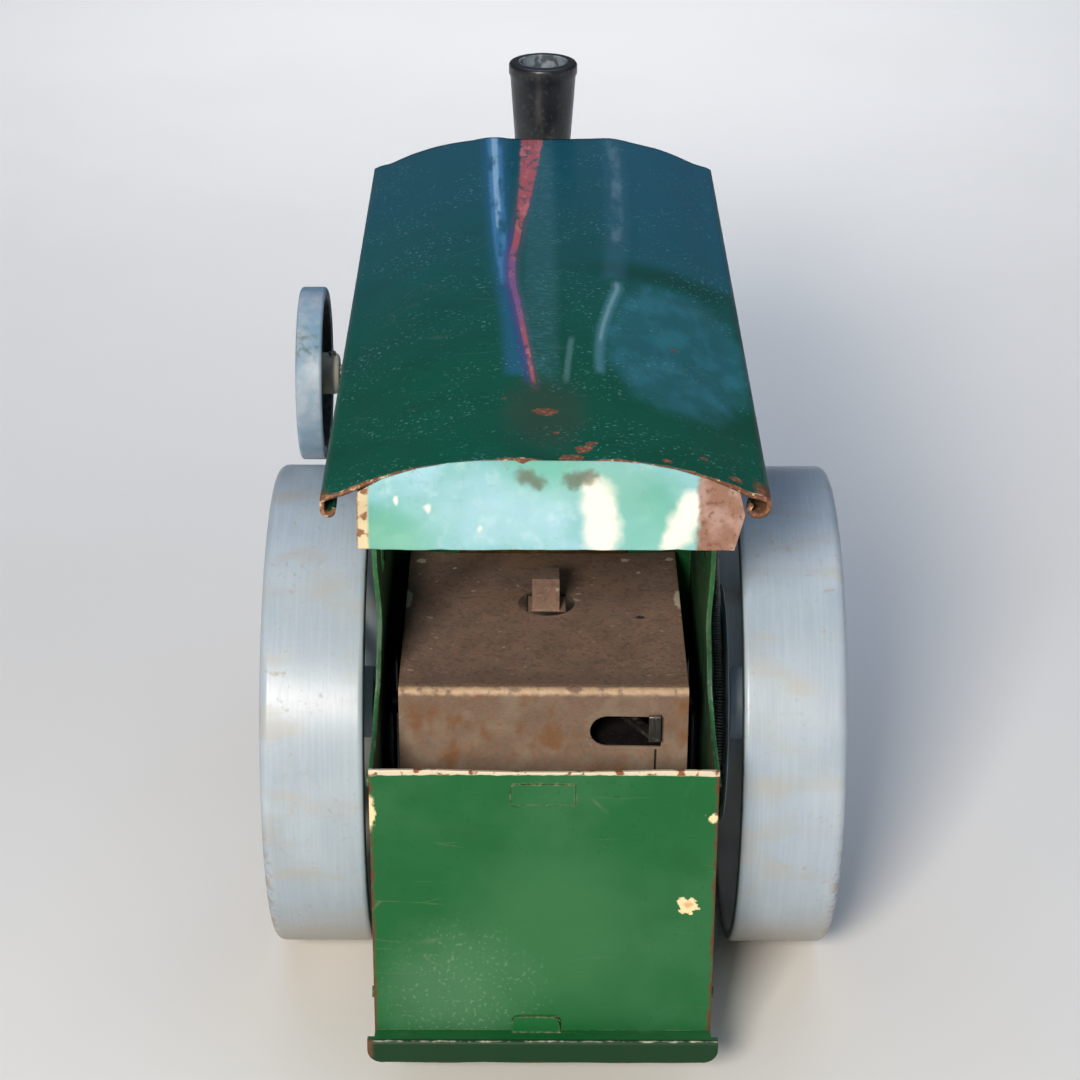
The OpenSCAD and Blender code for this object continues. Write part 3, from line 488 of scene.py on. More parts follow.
class Shop:
    """Puts finished pieces in the scene and reports them."""

    def __init__(self) -> None:
        """Starts with nothing made."""
        self.node_slot = {s["node"]: Slot(s["material_slot"]) for s in frame["record"]["subparts"]}

    def place(self, name: str, mesh: bmesh.types.BMesh, material: bpy.types.Material, body: Body,
              slot: Slot, replaces: Sequence[str]) -> bpy.types.Object:
        """Makes a new piece that rides on a body and stands for CAD nodes.

        Args:
            name: The piece's name.
            mesh: Its mesh in metres.
            material: Its finish.
            body: The CAD body it rides on.
            slot: The record's material slot; not used.
            replaces: The CAD nodes it stands for.

        Returns:
            The new object.
        """
        data = bpy.data.meshes.new(name)
        mesh.normal_update()
        mesh.to_mesh(data)
        mesh.free()
        data.polygons.foreach_set("use_smooth", [True] * len(data.polygons))
        data.materials.append(material)
        piece = bpy.data.objects.new(name, data)
        bpy.context.scene.collection.objects.link(piece)
        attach(piece, body.value)
        if replaces:
            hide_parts(*replaces)
        LOG.info("%s: %d faces on %s", name, len(data.polygons), body.value)
        return piece

    def round_edges(self, piece: bpy.types.Object, width: float, angle: float = 38.0) -> None:
        """Rounds sharp edges and keeps flat faces flat, by modifiers alone.

        Args:
            piece: The object.
            width: The rounding's width in mm.
            angle: The least turn that counts as an edge, in degrees.
        """
        weld = piece.modifiers.new("join corners", "WELD")
        weld.merge_threshold = 0.002 * MM
        bevel = piece.modifiers.new("rounded edges", "BEVEL")
        bevel.width = width * MM
        bevel.segments = 2
        bevel.limit_method = "ANGLE"
        bevel.angle_limit = math.radians(angle)
        bevel.use_clamp_overlap = False
        flat = piece.modifiers.new("flat faces", "WEIGHTED_NORMAL")
        flat.keep_sharp = True

    def dress(self, node: str, material: bpy.types.Material, width: float = 0.12) -> None:
        """Gives a CAD node its finish and rounds its edges.

        Args:
            node: The CAD node's name.
            material: Its finish.
            width: How wide its edges are rounded, in mm.
        """
        piece = frame["nodes"][node]
        data = piece.data
        if "custom_normal" in data.attributes:
            data.attributes.remove(data.attributes["custom_normal"])
        data.polygons.foreach_set("use_smooth", [True] * len(data.polygons))
        data.materials.clear()
        data.materials.append(material)
        self.round_edges(piece, width)
        LOG.info("%s: dressed as %s", node, material.name)

    def sliced(self, node: str, steps: Point) -> bmesh.types.BMesh:
        """Copies a CAD node's mesh and cuts it into small faces, so that it can be dented.

        Args:
            node: The CAD node's name.
            steps: The spacing of the cuts along X, Y and Z in mm, or 0 for none.

        Returns:
            The copy as an editable mesh.
        """
        mesh = bmesh.new()
        mesh.from_mesh(frame["nodes"][node].data)
        bmesh.ops.remove_doubles(mesh, verts=mesh.verts, dist=0.001 * MM)
        low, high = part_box(node)
        for axis, step in enumerate(steps):
            if not step:
                continue
            normal = Vector((axis == 0, axis == 1, axis == 2))
            count = int((high[axis] - low[axis]) / (step * MM))
            for i in range(1, count + 1):
                point = low.copy()
                point[axis] = low[axis] + (high[axis] - low[axis]) * i / (count + 1)
                everything = mesh.verts[:] + mesh.edges[:] + mesh.faces[:]
                bmesh.ops.bisect_plane(mesh, geom=everything, plane_co=point, plane_no=normal, dist=1e-7)
        return mesh

    def pushed(self, mesh: bmesh.types.BMesh, push: Callable[[Point], Point]) -> bmesh.types.BMesh:
        """Moves every corner of a mesh.

        Args:
            mesh: The mesh.
            push: Takes a place in mm and returns how far it moves in mm.

        Returns:
            The same mesh.
        """
        for corner in mesh.verts:
            corner.co += Vector(push(tuple(corner.co / MM))) * MM
        return mesh


def swept(points: Sequence[Vector], radius: float, sides: int, closed: bool) -> bmesh.types.BMesh:
    """A round wire along a line of points.

    Args:
        points: The wire's centre line in mm.
        radius: The wire's radius in mm.
        sides: Corners round the wire.
        closed: True where the wire's end meets its start.

    Returns:
        The wire's mesh in metres.
    """
    mesh = bmesh.new()
    count = len(points)
    rings = []
    side = Vector((0, 0, 1))
    for i, here in enumerate(points):
        after = points[(i + 1) % count] if closed or i + 1 < count else here
        before = points[i - 1] if closed or i else here
        along = (after - before).normalized()
        side = (side - along * side.dot(along)).normalized()
        other = along.cross(side)
        turn = [2 * math.pi * k / sides for k in range(sides)]
        rings.append([mesh.verts.new((here + radius * (side * math.cos(a) + other * math.sin(a))) * MM)
                      for a in turn])
    pairs = list(zip(rings, rings[1:])) + ([(rings[-1], rings[0])] if closed else [])
    for one, two in pairs:
        for k in range(sides):
            mesh.faces.new((one[k], one[k - 1], two[k - 1], two[k]))
    if not closed:
        mesh.faces.new(rings[0])
        mesh.faces.new(rings[-1][::-1])
    bmesh.ops.recalc_face_normals(mesh, faces=mesh.faces)
    return mesh


# how far ahead of the roof's rear edge, and how far right of its middle, the two folds run, in mm
FOLD_LEFT = [(0, -5.0), (59, -6.1), (104, -8.6), (127, -9.9), (199, -12.1)]
FOLD_RIGHT = [(0, 12.0), (54, 11.1), (92, 14.6), (157, 17.2), (199, 17.0)]


@dataclass
class Canopy:
    """The arched tin roof: two soft folds beside its crown, a battered right half and curled side lips."""

    shop: Shop
    flat: float = 11.0
    bend: float = 59.0
    lip: float = 3.7
    sheet: float = 0.8
    step: float = 1.2
    hook: float = 1.7
    low: Vector = field(init=False)
    high: Vector = field(init=False)

    def __post_init__(self) -> None:
        """Reads the roof's box."""
        low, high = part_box("canopy_roof")
        self.low, self.high = low / MM, high / MM
        self.centre = (self.low.x + self.high.x) / 2
        self.half = (self.high.x - self.low.x) / 2
        self.crown = self.high.z - self.sheet / 2
        self.rear = self.low.y

    def arch(self, x: float) -> float:
        """Height of the roof sheet's middle above a distance from the centre line."""
        run = max(abs(x) - self.flat, 0.0)
        return self.crown - self.bend + math.sqrt(self.bend ** 2 - run ** 2)

    def dents(self, x: float, v: float) -> float:
        """How far the sheet is pushed down.

        Args:
            x: Distance from the centre line in mm.
            v: Distance ahead of the rear edge in mm.

        Returns:
            The push in mm, never upward past the crown.
        """
        fold_left = follow(FOLD_LEFT, v)
        fold_right = follow(FOLD_RIGHT, v)
        push = 0.42 * smooth(abs(x - fold_left), 0.4, 6.0) + 0.3 * smooth(abs(x - fold_right), 0.5, 6.0)
        push += 1.15 * bump(x, v, (27, 62), (11, 27)) ** 0.7
        push += 0.5 * bump(x, v, (31, 96), (10, 7)) - 0.35 * bump(x, v, (24, 111), (14, 9))
        push += 0.45 * bump(x, v, (4.5, 52), (3, 20)) + 0.35 * bump(x, v, (-1, 150), (5, 40))
        push += 0.3 * bump(x, v, (-20, 40), (12, 30)) + 0.4 * bump(x, v, (-34, 120), (7, 45))
        push += 0.5 * bump(x, v, (6, 3), (9, 4)) + 0.3 * bump(x, v, (-20, 2), (7, 4))
        ripple = noise.noise(Vector((x / 9, v / 16, 0.4))) + 0.5 * noise.noise(Vector((x / 4, v / 7, 3.1)))
        fan = smooth(x, fold_left, fold_left + 3) * smooth(x, 5.0, 1.0) * smooth(v, 30, 60)
        wrinkle = math.sin(v * 0.9 + 1.6 * x + 2 * noise.noise(Vector((x / 5, v / 12, 7))))
        return max(0.02, push + 0.16 * ripple + 0.2 + 0.05 * fan * wrinkle)

    def outline(self, v: float) -> list[tuple[float, float]]:
        """The sheet's middle line across the roof at one place along it.

        Args:
            v: Distance ahead of the rear edge in mm.

        Returns:
            Points of distance from the centre line and height, from left to right.
        """
        side = self.half - self.sheet / 2
        points = []
        for sign in (-1, 1):
            bent = smooth(v, 9, 1) * (1.0 if sign > 0 else 0.35)
            curl = (0.5 if sign > 0 else 0.1) * bent
            radius = self.hook * (0.62 + curl + 0.08 * noise.noise(Vector((v / 11, sign, 0))))
            foot = self.low.z + radius + self.sheet / 2
            turns = [math.pi * (0.9 + 0.35 * bent) * k / 8 for k in range(8, 0, -1)]
            half = [(side - radius + radius * math.cos(a), foot - radius * math.sin(a)) for a in turns]
            half += [(side, foot + (self.arch(side) - foot) * t) for t in (0.0, 0.4, 0.75)]
            half = [(sign * x, z) for x, z in half]
            points.append(half)
        count = int(2 * side / self.step)
        top = [-side + 2 * side * k / count for k in range(count + 1)]
        return points[0] + [(x, self.arch(x)) for x in top] + points[1][::-1]

    def build(self) -> bpy.types.Object:
        """Builds the dented sheet with its hooked lips.

        Returns:
            The roof piece.
        """
        mesh = bmesh.new()
        length = self.high.y - self.low.y
        rows = int(length / self.step)
        grid = []
        for r in range(rows + 1):
            v = length * r / rows
            row = []
            for x, z in self.outline(v):
                ragged = 0.0
                if v < 1.5:
                    ragged = 0.35 + 0.35 * noise.noise(Vector((x / 3, 5, 1))) + 0.25 * noise.noise(
                        Vector((x / 0.9, 2, 1)))
                down = self.dents(x, v) * smooth(self.half - abs(x), 0.0, 5.0) + 0.02
                down = down if z > self.arch(self.half) - 0.8 else 0.0
                row.append(mesh.verts.new(Vector((self.centre + x, self.rear + v + max(0.0, ragged),
                                                  z - down)) * MM))
            grid.append(row)
        for one, two in zip(grid, grid[1:]):
            for k in range(len(one) - 1):
                mesh.faces.new((one[k], one[k + 1], two[k + 1], two[k]))
        roof = self.shop.place("canopy_sheet", mesh, self.finish(), Body.CHASSIS, Slot.GREEN_ROOF,
                               ["canopy_roof"])
        thick = roof.modifiers.new("sheet thickness", "SOLIDIFY")
        thick.thickness = self.sheet * MM
        thick.offset = 0.0
        return roof

    def finish(self) -> bpy.types.Material:
        """Dark green gloss enamel with the roof's own marks: a pink scrape, painted reflections along the folds,
        and rust.

        Returns:
            The material.
        """
        c, r = self.centre, self.rear
        paint = ROOF_GREEN.start()
        # painted sky reflection: the front and the right half are painted bluer and lighter
        paint.lay(paint.beyond(paint.y, r + 30, 170), "#1C5A70", share=0.85)
        right = paint.beyond(paint.x, c + 9, 14, 2.0, 9.0)
        paint.lay(paint.both(right, paint.beyond(paint.y, r + 104, 10, 3.0, 9.0)), "#1F6480", share=0.45)
        # painted reflection: a lighter teal oval over the dent on the right half
        dent_reflection = paint.spot((c + 27, r + 64, 0), 11.5, 6.0, 3.0, 9.0, (1, 0.42, 0))
        paint.lay(dent_reflection, "#2C7080", share=0.6)
        paint.lay(paint.both(dent_reflection, paint.patches(5, 0.4, 0.7, 24.0, (1, 0.5, 1))), "#347F90", share=0.6)
        paint.lay(paint.spot((c + 27, r + 104, 0), 1, 7, 2, 6, (0.25, 1, 0)), "#0B4640", share=0.8)
        # painted reflection: pale blue streaks along the left fold, in glossier paint, brightest along its middle
        folds = [(r + v, c + x) for v, x in FOLD_LEFT]
        broken = paint.patches(2.5, 0.3, 0.55, 21.0, (1, 0.2, 1))
        paint.lay(paint.track(folds, (r + 40, r + 202), (0.3, 1.0), 3.2), "#2C6A96", share=0.6)
        worn = paint.track(folds, (r + 92, r + 206), (0.2, 0.9), 1.2)
        paint.lay(paint.both(worn, broken), "#4F8FC2", 0.3, share=0.8)
        bright = paint.track(folds, (r + 128, r + 206), (0.0, 0.35), 0.6)
        paint.lay(paint.both(bright, broken), "#A4CDEB", 0.3, share=0.75)
        # painted reflection: a pale blue-grey halo and a paler streak along the right fold
        right_fold = [(r + v, c + x) for v, x in FOLD_RIGHT]
        halo = paint.track(right_fold, (r + 96, r + 206), (0.4, 0.8), 3.0)
        paint.lay(halo, "#3F7088", share=0.35)
        rubbed = paint.track(right_fold, (r + 120, r + 206), (0.1, 0.4), 1.4)
        paint.lay(paint.both(rubbed, paint.patches(3.4, 0.35, 0.75, 33.0, (1, 0.35, 1))), "#7C9BAE", 0.4,
                  share=0.5)
        # painted highlight: a pale curved line along the left edge of the dent
        arc = [(r + 38, c + 11.5), (r + 50, c + 10.9), (r + 65, c + 11.6), (r + 78, c + 13.2),
               (r + 92, c + 15.6)]
        paint.lay(paint.track(arc, (r + 42, r + 98), (0.0, 0.3), 1.6), "#5F9AAE", 0.35, share=0.5)
        paint.lay(paint.track(arc, (r + 60, r + 98), (0.0, 0.15), 0.5), "#A9CBD2", 0.35, share=0.3)
        small_arc = [(r + 36, c + 4.0), (r + 50, c + 4.6), (r + 68, c + 5.8)]
        paint.lay(paint.track(small_arc, (r + 38, r + 66), (0.1, 0.1), 0.9), "#6F9C9E", 0.35, share=0.4)
        # fine fan-shaped wrinkles beside the scrape, and over them a pale blue wash that is a painted sheen
        fan = paint.both(paint.beyond(paint.x, c - 6, 3), paint.beyond(paint.x, c + 4, -3))
        hatch = paint.both(fan, paint.patches(0.8, 0.48, 0.68, 40.0, (0.4, 1, 1)))
        paint.lay(paint.both(hatch, paint.beyond(paint.y, r + 34, 12)), "#3A7A84", 0.45, share=0.5)
        paint.lay(paint.both(fan, paint.beyond(paint.y, r + 34, 12)), "#4A7F8C", share=0.22)
        scrape = [(r + 30, c - 1.6), (r + 54, c - 3.4), (r + 82, c - 5.6), (r + 104, c - 7.0),
                  (r + 124, c - 6.1), (r + 160, c - 4.2), (r + 199, c - 2.7)]
        fringe = [(y, x - 0.8) for y, x in scrape]
        paint.lay(paint.track(fringe, (r + 36, r + 132), (0.2, 0.7), 1.2), "#33478F", 0.4, share=0.7)
        paint.lay(paint.track(scrape, (r + 32, r + 205), (0.2, 1.2), 1.5), "#6E5A70", 0.45, share=0.4)
        thin_run = paint.track(scrape, (r + 34, r + 205), (0.1, 0.6), 0.45)
        pink = paint.either(thin_run, paint.track(scrape[4:], (r + 138, r + 205), (0.25, 1.8), 0.6))
        pink = paint.both(pink, paint.patches(1.3, 0.3, 0.5, 51.0, (1, 0.4, 1)))
        paint.lay(pink, "#BC6068", 0.5, lift=-0.03, share=0.9)
        paint.lay(paint.both(pink, paint.patches(2.2, 0.5, 0.65, 53.0, (1, 0.3, 1))), "#D98488", share=0.6)
        cool = paint.both(pink, paint.spot((c, r + 92, 0), 12, 18, 3, 5, (0, 1, 0)))
        paint.lay(cool, "#6A5CA0", 0.45, share=0.7)
        # dust and pinprick chips that catch the light
        pricks = paint.both(paint.patches(0.8, 0.63, 0.72, 26.0, detail=1.0),
                            paint.patches(14, 0.42, 0.6, 27.0))
        paint.lay(pricks, "#6FA0A6", 0.45, share=0.5)
        # sooty brown stain and rust where the paint has gone at the back
        stain = paint.spot((c, r + 24, 0), 4.0, 7.0, 3.0, 4.0, (1, 0.45, 0))
        paint.lay(stain, "#34463A", 0.6, share=0.6)
        rust = paint.spot((c - 0.1, r + 24, 0), 1.3, 0.7, 0.7, 1.4, (0.7, 1, 0))
        for x, v, reach in ((4.8, 2.4, 2.0), (7.0, 6.5, 1.3), (8.6, 8.4, 0.8), (22.6, 3.4, 0.7),
                            (29.6, 8.6, 0.6), (-8, 30, 0.3), (2, 14, 0.5), (26.7, 64, 0.35),
                            (35.5, 4, 1.0)):
            rust = paint.either(rust, paint.spot((c + x, r + v, 0), reach, 0.4, 0.9, 1.2, (1, 1, 0)))
        lip = paint.beyond(paint.y, r + 1.5, -0.9, 1.1, 2.0)
        corner = paint.both(paint.beyond(paint.x, c + 38.5, 1.5, 1.2, 2.0),
                            paint.beyond(paint.y, r + 9, -5, 3, 4))
        corner = paint.either(corner, paint.both(paint.beyond(paint.x, c - 40.2, -1.0, 0.8, 2.0),
                                                 paint.beyond(paint.y, r + 5, -4, 2, 4)))
        rust = paint.either(rust, paint.either(lip, corner))
        sides = paint.both(paint.beyond(paint.z, self.low.z + 3.6, -1.4, 1.2, 3.0),
                           paint.patches(5, 0.5, 0.62, 61))
        rust = paint.either(rust, sides)
        paint.lay(rust, "#6E4A39", 0.8, 0.0, -0.03)
        paint.lay(paint.both(rust, paint.patches(0.9, 0.5, 0.62, 62.0)), "#94694F", 0.85)
        paint.lay(paint.both(lip, paint.patches(1.4, 0.58, 0.66, 63.0)), "#C9B49A", 0.6)
        # painted shade: faces turned downward are painted darker green
        under = paint.add("ShaderNodeNewGeometry", out="Normal")
        down = paint.add("ShaderNodeSeparateXYZ", {0: under}, out="Z")
        paint.lay(paint.add(RAMP, {0: down, 1: -0.2, 2: -0.8}), "#0E3A30", 0.55, share=0.7)
        return paint.done(ROOF_GREEN.coat, ROOF_GREEN.coat_roughness, ROOF_GREEN.specular)


@dataclass
class RearArch:
    """The rear plate under the canopy's back edge: green enamel painted pale mint as glare, rusting at its right
    end.
    """

    shop: Shop

    def push(self, place: Point) -> Point:
        """Buckles the plate a little, and less at its top edge."""
        x, y, z = place
        bow = 0.5 * noise.noise(Vector((x / 16, z / 9, 2))) + 0.25 * noise.noise(Vector((x / 5, z / 5, 8)))
        rear = smooth(y, self.front, self.front - 6)
        edge = 0.3 * noise.noise(Vector((x / 4, 1, 5))) * smooth(z, self.low + 3, self.low)
        return (0.0, max(0.0, bow + 0.35) * rear, max(0.0, edge) * rear)

    def build(self) -> None:
        """Builds the buckled plate."""
        low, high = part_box("canopy_rear_bracket")
        self.centre = (low.x + high.x) / 2 / MM
        self.low, self.front = low.z / MM, low.y / MM + 8
        mesh = self.shop.pushed(self.shop.sliced("canopy_rear_bracket", (1.6, 3.0, 1.6)), self.push)
        plate = self.shop.place("canopy_rear_arch", mesh, self.finish(), Body.CHASSIS, Slot.GREEN_BODY,
                                ["canopy_rear_bracket"])
        self.shop.round_edges(plate, 0.12)

    def finish(self) -> bpy.types.Material:
        """Green enamel painted pale mint as glare, with cream patches of painted glare, drips of rust and a bare
        left end.

        Returns:
            The material.
        """
        c = sum(v.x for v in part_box("canopy_roof")) / 2 / MM
        low = self.low
        # painted glare: the pale mint base and its paler clouds stand for light mirrored off green enamel
        paint = Surface("mint_painted_glare_enamel", "#7CB4BA", 0.45)
        paint.lay(paint.patches(8, 0.35, 0.7, 3.0), "#6AA8A6", share=0.7)
        paint.lay(paint.patches(6, 0.45, 0.75, 8.0, (0.6, 1, 1)), "#8FBCCC", share=0.9)
        paint.lay(paint.patches(3.5, 0.5, 0.74, 12.0), "#AFCFD4", share=0.5)
        paint.lay(paint.patches(1.2, 0.56, 0.72, 13.0), "#5E9A90", share=0.3)
        for x, z, reach, shade in ((18.5, 9.5, 1.0, "#4F9F88"), (20.5, 3.0, 0.8, "#6CB0A2"),
                                   (-32.5, 2.0, 1.0, "#2E8A66"), (-27, 3, 0.5, "#5AA590"),
                                   (1, 14.0, 1.4, "#55A790"), (12, 12, 0.5, "#77AFA6")):
            green = paint.spot((c + x, 0, low + z), reach, 7.0, 2.0, 4.0, (0.6, 0, 1))
            paint.lay(green, shade, share=0.8)
        # painted glare: near-white patches where the light mirrors off the plate
        for x, z, reach, soft in ((9.8, 8.4, 1.4, 3.4), (10.4, 3.4, 1.5, 3.2), (8.4, 12.0, 0.3, 2.2),
                                  (23.2, 1.6, 0.6, 2.2), (25.2, 4.4, 1.2, 2.4), (26.8, 7.6, 1.2, 2.2),
                                  (-21.8, 7.6, 0.1, 0.9), (-27.6, 9.0, 0.0, 0.8), (-12.0, 4.0, 0.0, 0.7)):
            glare_patch = paint.spot((c + x, 0, low + z), reach, soft, 1.1, 2.6, (1, 0, 0.8))
            paint.lay(glare_patch, "#EAE8DA", 0.5, share=0.95)
        # painted glare: a pale blue haze left of the middle
        glare_haze = paint.spot((c - 8, 0, low + 7), 2.0, 9.0, 3.0, 5.0, (0.5, 0, 1))
        paint.lay(glare_haze, "#A4C8D8", 0.5, share=0.45)
        end = paint.beyond(paint.x, c + 27.6, 1.6, 2.4, 4.0)
        tilt = paint.add(MATH, {0: paint.z, 1: 0.45, 2: paint.x}, operation="MULTIPLY_ADD")
        end = paint.both(end, paint.beyond(tilt, c + 27 + 0.45 * low, 2.0, 1.5, 3.0))
        paint.lay(end, "#8A6757", 0.8, lift=-0.03)
        paint.lay(paint.both(end, paint.patches(3.6, 0.42, 0.66, 15.0)), "#A3867C", 0.8)
        paint.lay(paint.both(end, paint.patches(1.1, 0.52, 0.7, 16.0)), "#6E4836", 0.85, share=0.7)
        strip = paint.beyond(paint.x, c - 32.4, -0.8, 0.5, 3.0)
        paint.lay(strip, "#BFB08E", 0.55, 0.2)
        paint.lay(paint.both(strip, paint.patches(2.0, 0.52, 0.62, 18.0)), "#8A6248", 0.8)
        drips = paint.thin(paint.patches(2.2, 0.66, 0.74, 19.0, (1, 1, 0.4)), 0.6)
        paint.lay(paint.both(drips, paint.beyond(paint.z, low + 8, 4)), "#8B6B55", 0.75)
        for x, z, reach in ((5.2, 12.6, 1.6), (-3.8, 13.2, 1.2), (-1.5, 12.0, 0.7), (8, 13.2, 1.0)):
            stain = paint.spot((c + x, 0, low + z), reach * 0.5, 1.6, 1.0, 1.5, (0.8, 0, 1))
            paint.lay(stain, "#5E6250", 0.8, share=0.8)
        ears = paint.beyond(paint.y, self.front - 3, 3)
        paint.lay(ears, "#1E5A3C", 0.45)
        paint.lay(paint.edges(0.5, 0.1, 0.34), "#7C5A44", 0.75, share=0.8)
        return paint.done(0.05, 0.2, 0.3)


@dataclass
class Bunker:
    """The rear box: side plates, back panel and folded floor, in scuffed mid-green enamel."""

    shop: Shop
    bulge: float = 1.5

    def build(self) -> None:
        """Builds the panel, the two side plates and the floor."""
        self.panel()
        self.floor()
        for node, sign in (("hornplate_left", 1), ("hornplate_right", -1)):
            self.side(node, sign)

    def panel(self) -> None:
        """Back panel: slightly hollow, its bare top edge sagging in the middle."""
        low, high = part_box("bunker_back_panel")
        c, top = (low.x + high.x) / 2 / MM, high.z / MM
        low = low / MM

        def push(place: Point) -> Point:
            """Hollows the sheet and lets its top edge sag."""
            x, _, z = place
            inner = smooth(abs(x - c), 34, 20)
            hollow = 0.35 * inner * smooth(z, low.z, low.z + 25)
            hollow += 0.12 * noise.noise(Vector((x / 14, z / 14, 3)))
            sag = -0.55 * smooth(abs(x - c), 32, 4) * smooth(z, top - 12, top)
            return (0.0, max(0.0, hollow), sag + min(0.0, 0.1 * noise.noise(Vector((x / 2.5, 0, 1)))))

        mesh = self.shop.pushed(self.shop.sliced("bunker_back_panel", (2.2, 0, 2.2)), push)
        paint = BODY_GREEN.start()
        paint.lay(paint.spot((c - 18, low.y, low.z + 9), 4, 17, 5, 8), "#4C7A58", 0.55, share=0.6)
        paint.lay(paint.spot((c + 2, low.y, low.z + 24), 8, 20, 5, 9), "#3F744B", 0.5, share=0.5)
        specks = paint.patches(0.9, 0.6, 0.68, 71.0, detail=1.0)
        wide = paint.spot((c - 16, low.y, low.z + 9), 9, 12, 4, 6)
        paint.lay(paint.both(specks, wide), "#7C9C80", 0.6, share=0.3)
        rim = paint.either(paint.spot((c - 34.6, low.y, 0), 0.5, 0.9, 0.7, 2.0, (1, 1, 0)),
                           paint.spot((c + 34.6, low.y, 0), 0.5, 0.9, 0.7, 2.0, (1, 1, 0)))
        paint.lay(rim, "#5B3A24", 0.8, lift=-0.02)
        bare = paint.either(paint.spot((c - 34.2, low.y, 68), 0.9, 0.6, 0.8, 1.2, (1, 1, 0.3)),
                            paint.spot((c + 33.2, low.y, 67), 0.7, 0.4, 0.7, 1.0, (1, 1, 0.8)))
        star = paint.spot((c + 28.8, low.y, 46.6), 1.8, 0.4, 1.9, 1.5)
        bare = paint.either(bare,
                            paint.either(star, paint.spot((c - 4.8, low.y, 46.2), 0.45, 0.2, 0.4, 0.8)))
        bare = paint.either(bare, paint.spot((c + 22.6, low.y, 27.8), 0.25, 0.15, 0.2, 0.8))
        for x, z in ((30.8, 71.0), (31.6, 67.8), (-13.2, 49.2), (-27, 38), (-24, 30.2)):
            bare = paint.either(bare, paint.spot((c + x, low.y, z), 0.22, 0.2, 0.3, 0.7, (0.6, 1, 1)))
        paint.lay(bare, "#E9D3A6", 0.7, lift=-0.04)
        paint.lay(paint.both(star, paint.spot((c + 28.9, low.y, 47.0), 0.8, 0.5, 0.8, 0.8)), "#D2A878", 0.7)
        top_edge = paint.beyond(paint.z, top - 1.25, 0.25, 0.3, 2.0)
        paint.lay(top_edge, "#D9CDB4", 0.5, 0.3)
        paint.lay(paint.both(top_edge, paint.patches(2.4, 0.52, 0.6, 77.0)), "#8A5A3E", 0.7)
        panel = self.shop.place("bunker_rear_panel", mesh,
                                paint.done(BODY_GREEN.coat, 0.25, BODY_GREEN.specular), Body.CHASSIS,
                                Slot.GREEN_BODY, ["bunker_back_panel"])
        self.shop.round_edges(panel, 0.15)

    def floor(self) -> None:
        """Floor with its folded lip, worn bright along the fold."""
        low, high = (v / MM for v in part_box("bunker_floor"))
        mesh = self.shop.sliced("bunker_floor", (3.0, 6.0, 1.5))

        def push(place: Point) -> Point:
            """Waves the lip's lower edge."""
            x, y, z = place
            wave = 0.25 * noise.noise(Vector((x / 9, 3, 0))) * smooth(z, low.z + 5, low.z)
            inside = smooth(y, low.y + 1.5, low.y + 0.4)
            return (0.0, 0.0, max(0.0, wave + 0.08) * inside)

        paint = BODY_GREEN.start()
        lip = paint.beyond(paint.y, low.y + 1.2, -0.5)
        paint.lay(lip, "#0F2E17", share=0.9)
        fold = paint.spot((0, low.y + 0.2, high.z - 3.6), 0.22, 0.25, 0.25, 2.0, (0, 1, 1))
        paint.lay(paint.both(fold, paint.patches(3.0, 0.3, 0.45, 81.0)), "#C9CDBB", 0.45, 0.2)
        rust = paint.both(lip, paint.beyond(paint.z, low.z + 0.4, -0.4, 0.3, 2.0))
        ends = paint.beyond(paint.x, low.x + 1.6, -1.2, 1.0, 2.0)
        paint.lay(paint.either(rust, paint.both(lip, ends)), "#5E4230", 0.8)
        under = paint.both(paint.beyond(paint.z, high.z - 4.2, -0.6),
                           paint.beyond(paint.y, low.y + 2.5, 1.0))
        paint.lay(paint.both(under, paint.patches(5, 0.45, 0.6, 83.0)), "#6A5040", 0.8)
        floor = self.shop.place("bunker_floor_plate", self.shop.pushed(mesh, push),
                                paint.done(BODY_GREEN.coat, 0.25, BODY_GREEN.specular), Body.CHASSIS,
                                Slot.GREEN_BODY, ["bunker_floor"])
        self.shop.round_edges(floor, 0.15)

    def side(self, node: str, inward: int) -> None:
        """A side plate, knocked in a little behind the rear post.

        Args:
            node: The CAD node's name.
            inward: 1 where inward is to the right, or -1.
        """
        low, high = (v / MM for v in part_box(node))

        def push(place: Point) -> Point:
            """Knocks the rear part of the plate inward in two places."""
            _, y, z = place
            knock = self.bulge * bump(y, z, (low.y + 14, 96), (16, 13))
            knock += 0.6 * self.bulge * bump(y, z, (low.y + 30, 122), (10, 12)) * (inward < 0)
            knock += 0.25 * noise.noise(Vector((y / 15, z / 12, inward)))
            return (inward * max(0.0, knock) * smooth(z, 78, 84), 0.0, 0.0)

        paint = BODY_GREEN.start()
        rust = paint.both(paint.spot((0, low.y + 18, 93), 2.0, 1.5, 1.5, 2.5, (0, 1, 1)),
                          paint.patches(2.0, 0.35, 0.5, 91.0))
        pale = paint.both(paint.spot((0, low.y + 16, 85), 2.0, 4.0, 2.0, 2.5, (0, 0.6, 1)),
                          paint.patches(2.0, 0.4, 0.5, 92.0))
        paint.lay(pale, "#7FA695", 0.5)
        paint.lay(rust, "#8B6748", 0.8)
        # painted shade: the inner face is painted darker towards the bottom, deep inside the bunker, not browned
        # by heat
        heat = paint.beyond(paint.z, high.z - 20, -50, 8, 12)
        inside = paint.beyond(paint.x, (low.x + high.x) / 2, 0.3 * inward)
        paint.lay(paint.both(paint.thin(heat, 0.7), inside), "#222D26", 0.6)
        paint.lay(paint.both(inside, paint.patches(4, 0.55, 0.68, 93.0, (1, 1, 0.3))), "#5F7A68", share=0.5)
        mesh = self.shop.pushed(self.shop.sliced(node, (0, 3.0, 3.0)), push)
        plate = self.shop.place(node + "_sheet", mesh,
                                paint.done(BODY_GREEN.coat, 0.25, BODY_GREEN.specular), Body.CHASSIS,
                                Slot.GREEN_BODY, [node])
        self.shop.round_edges(plate, 0.15)


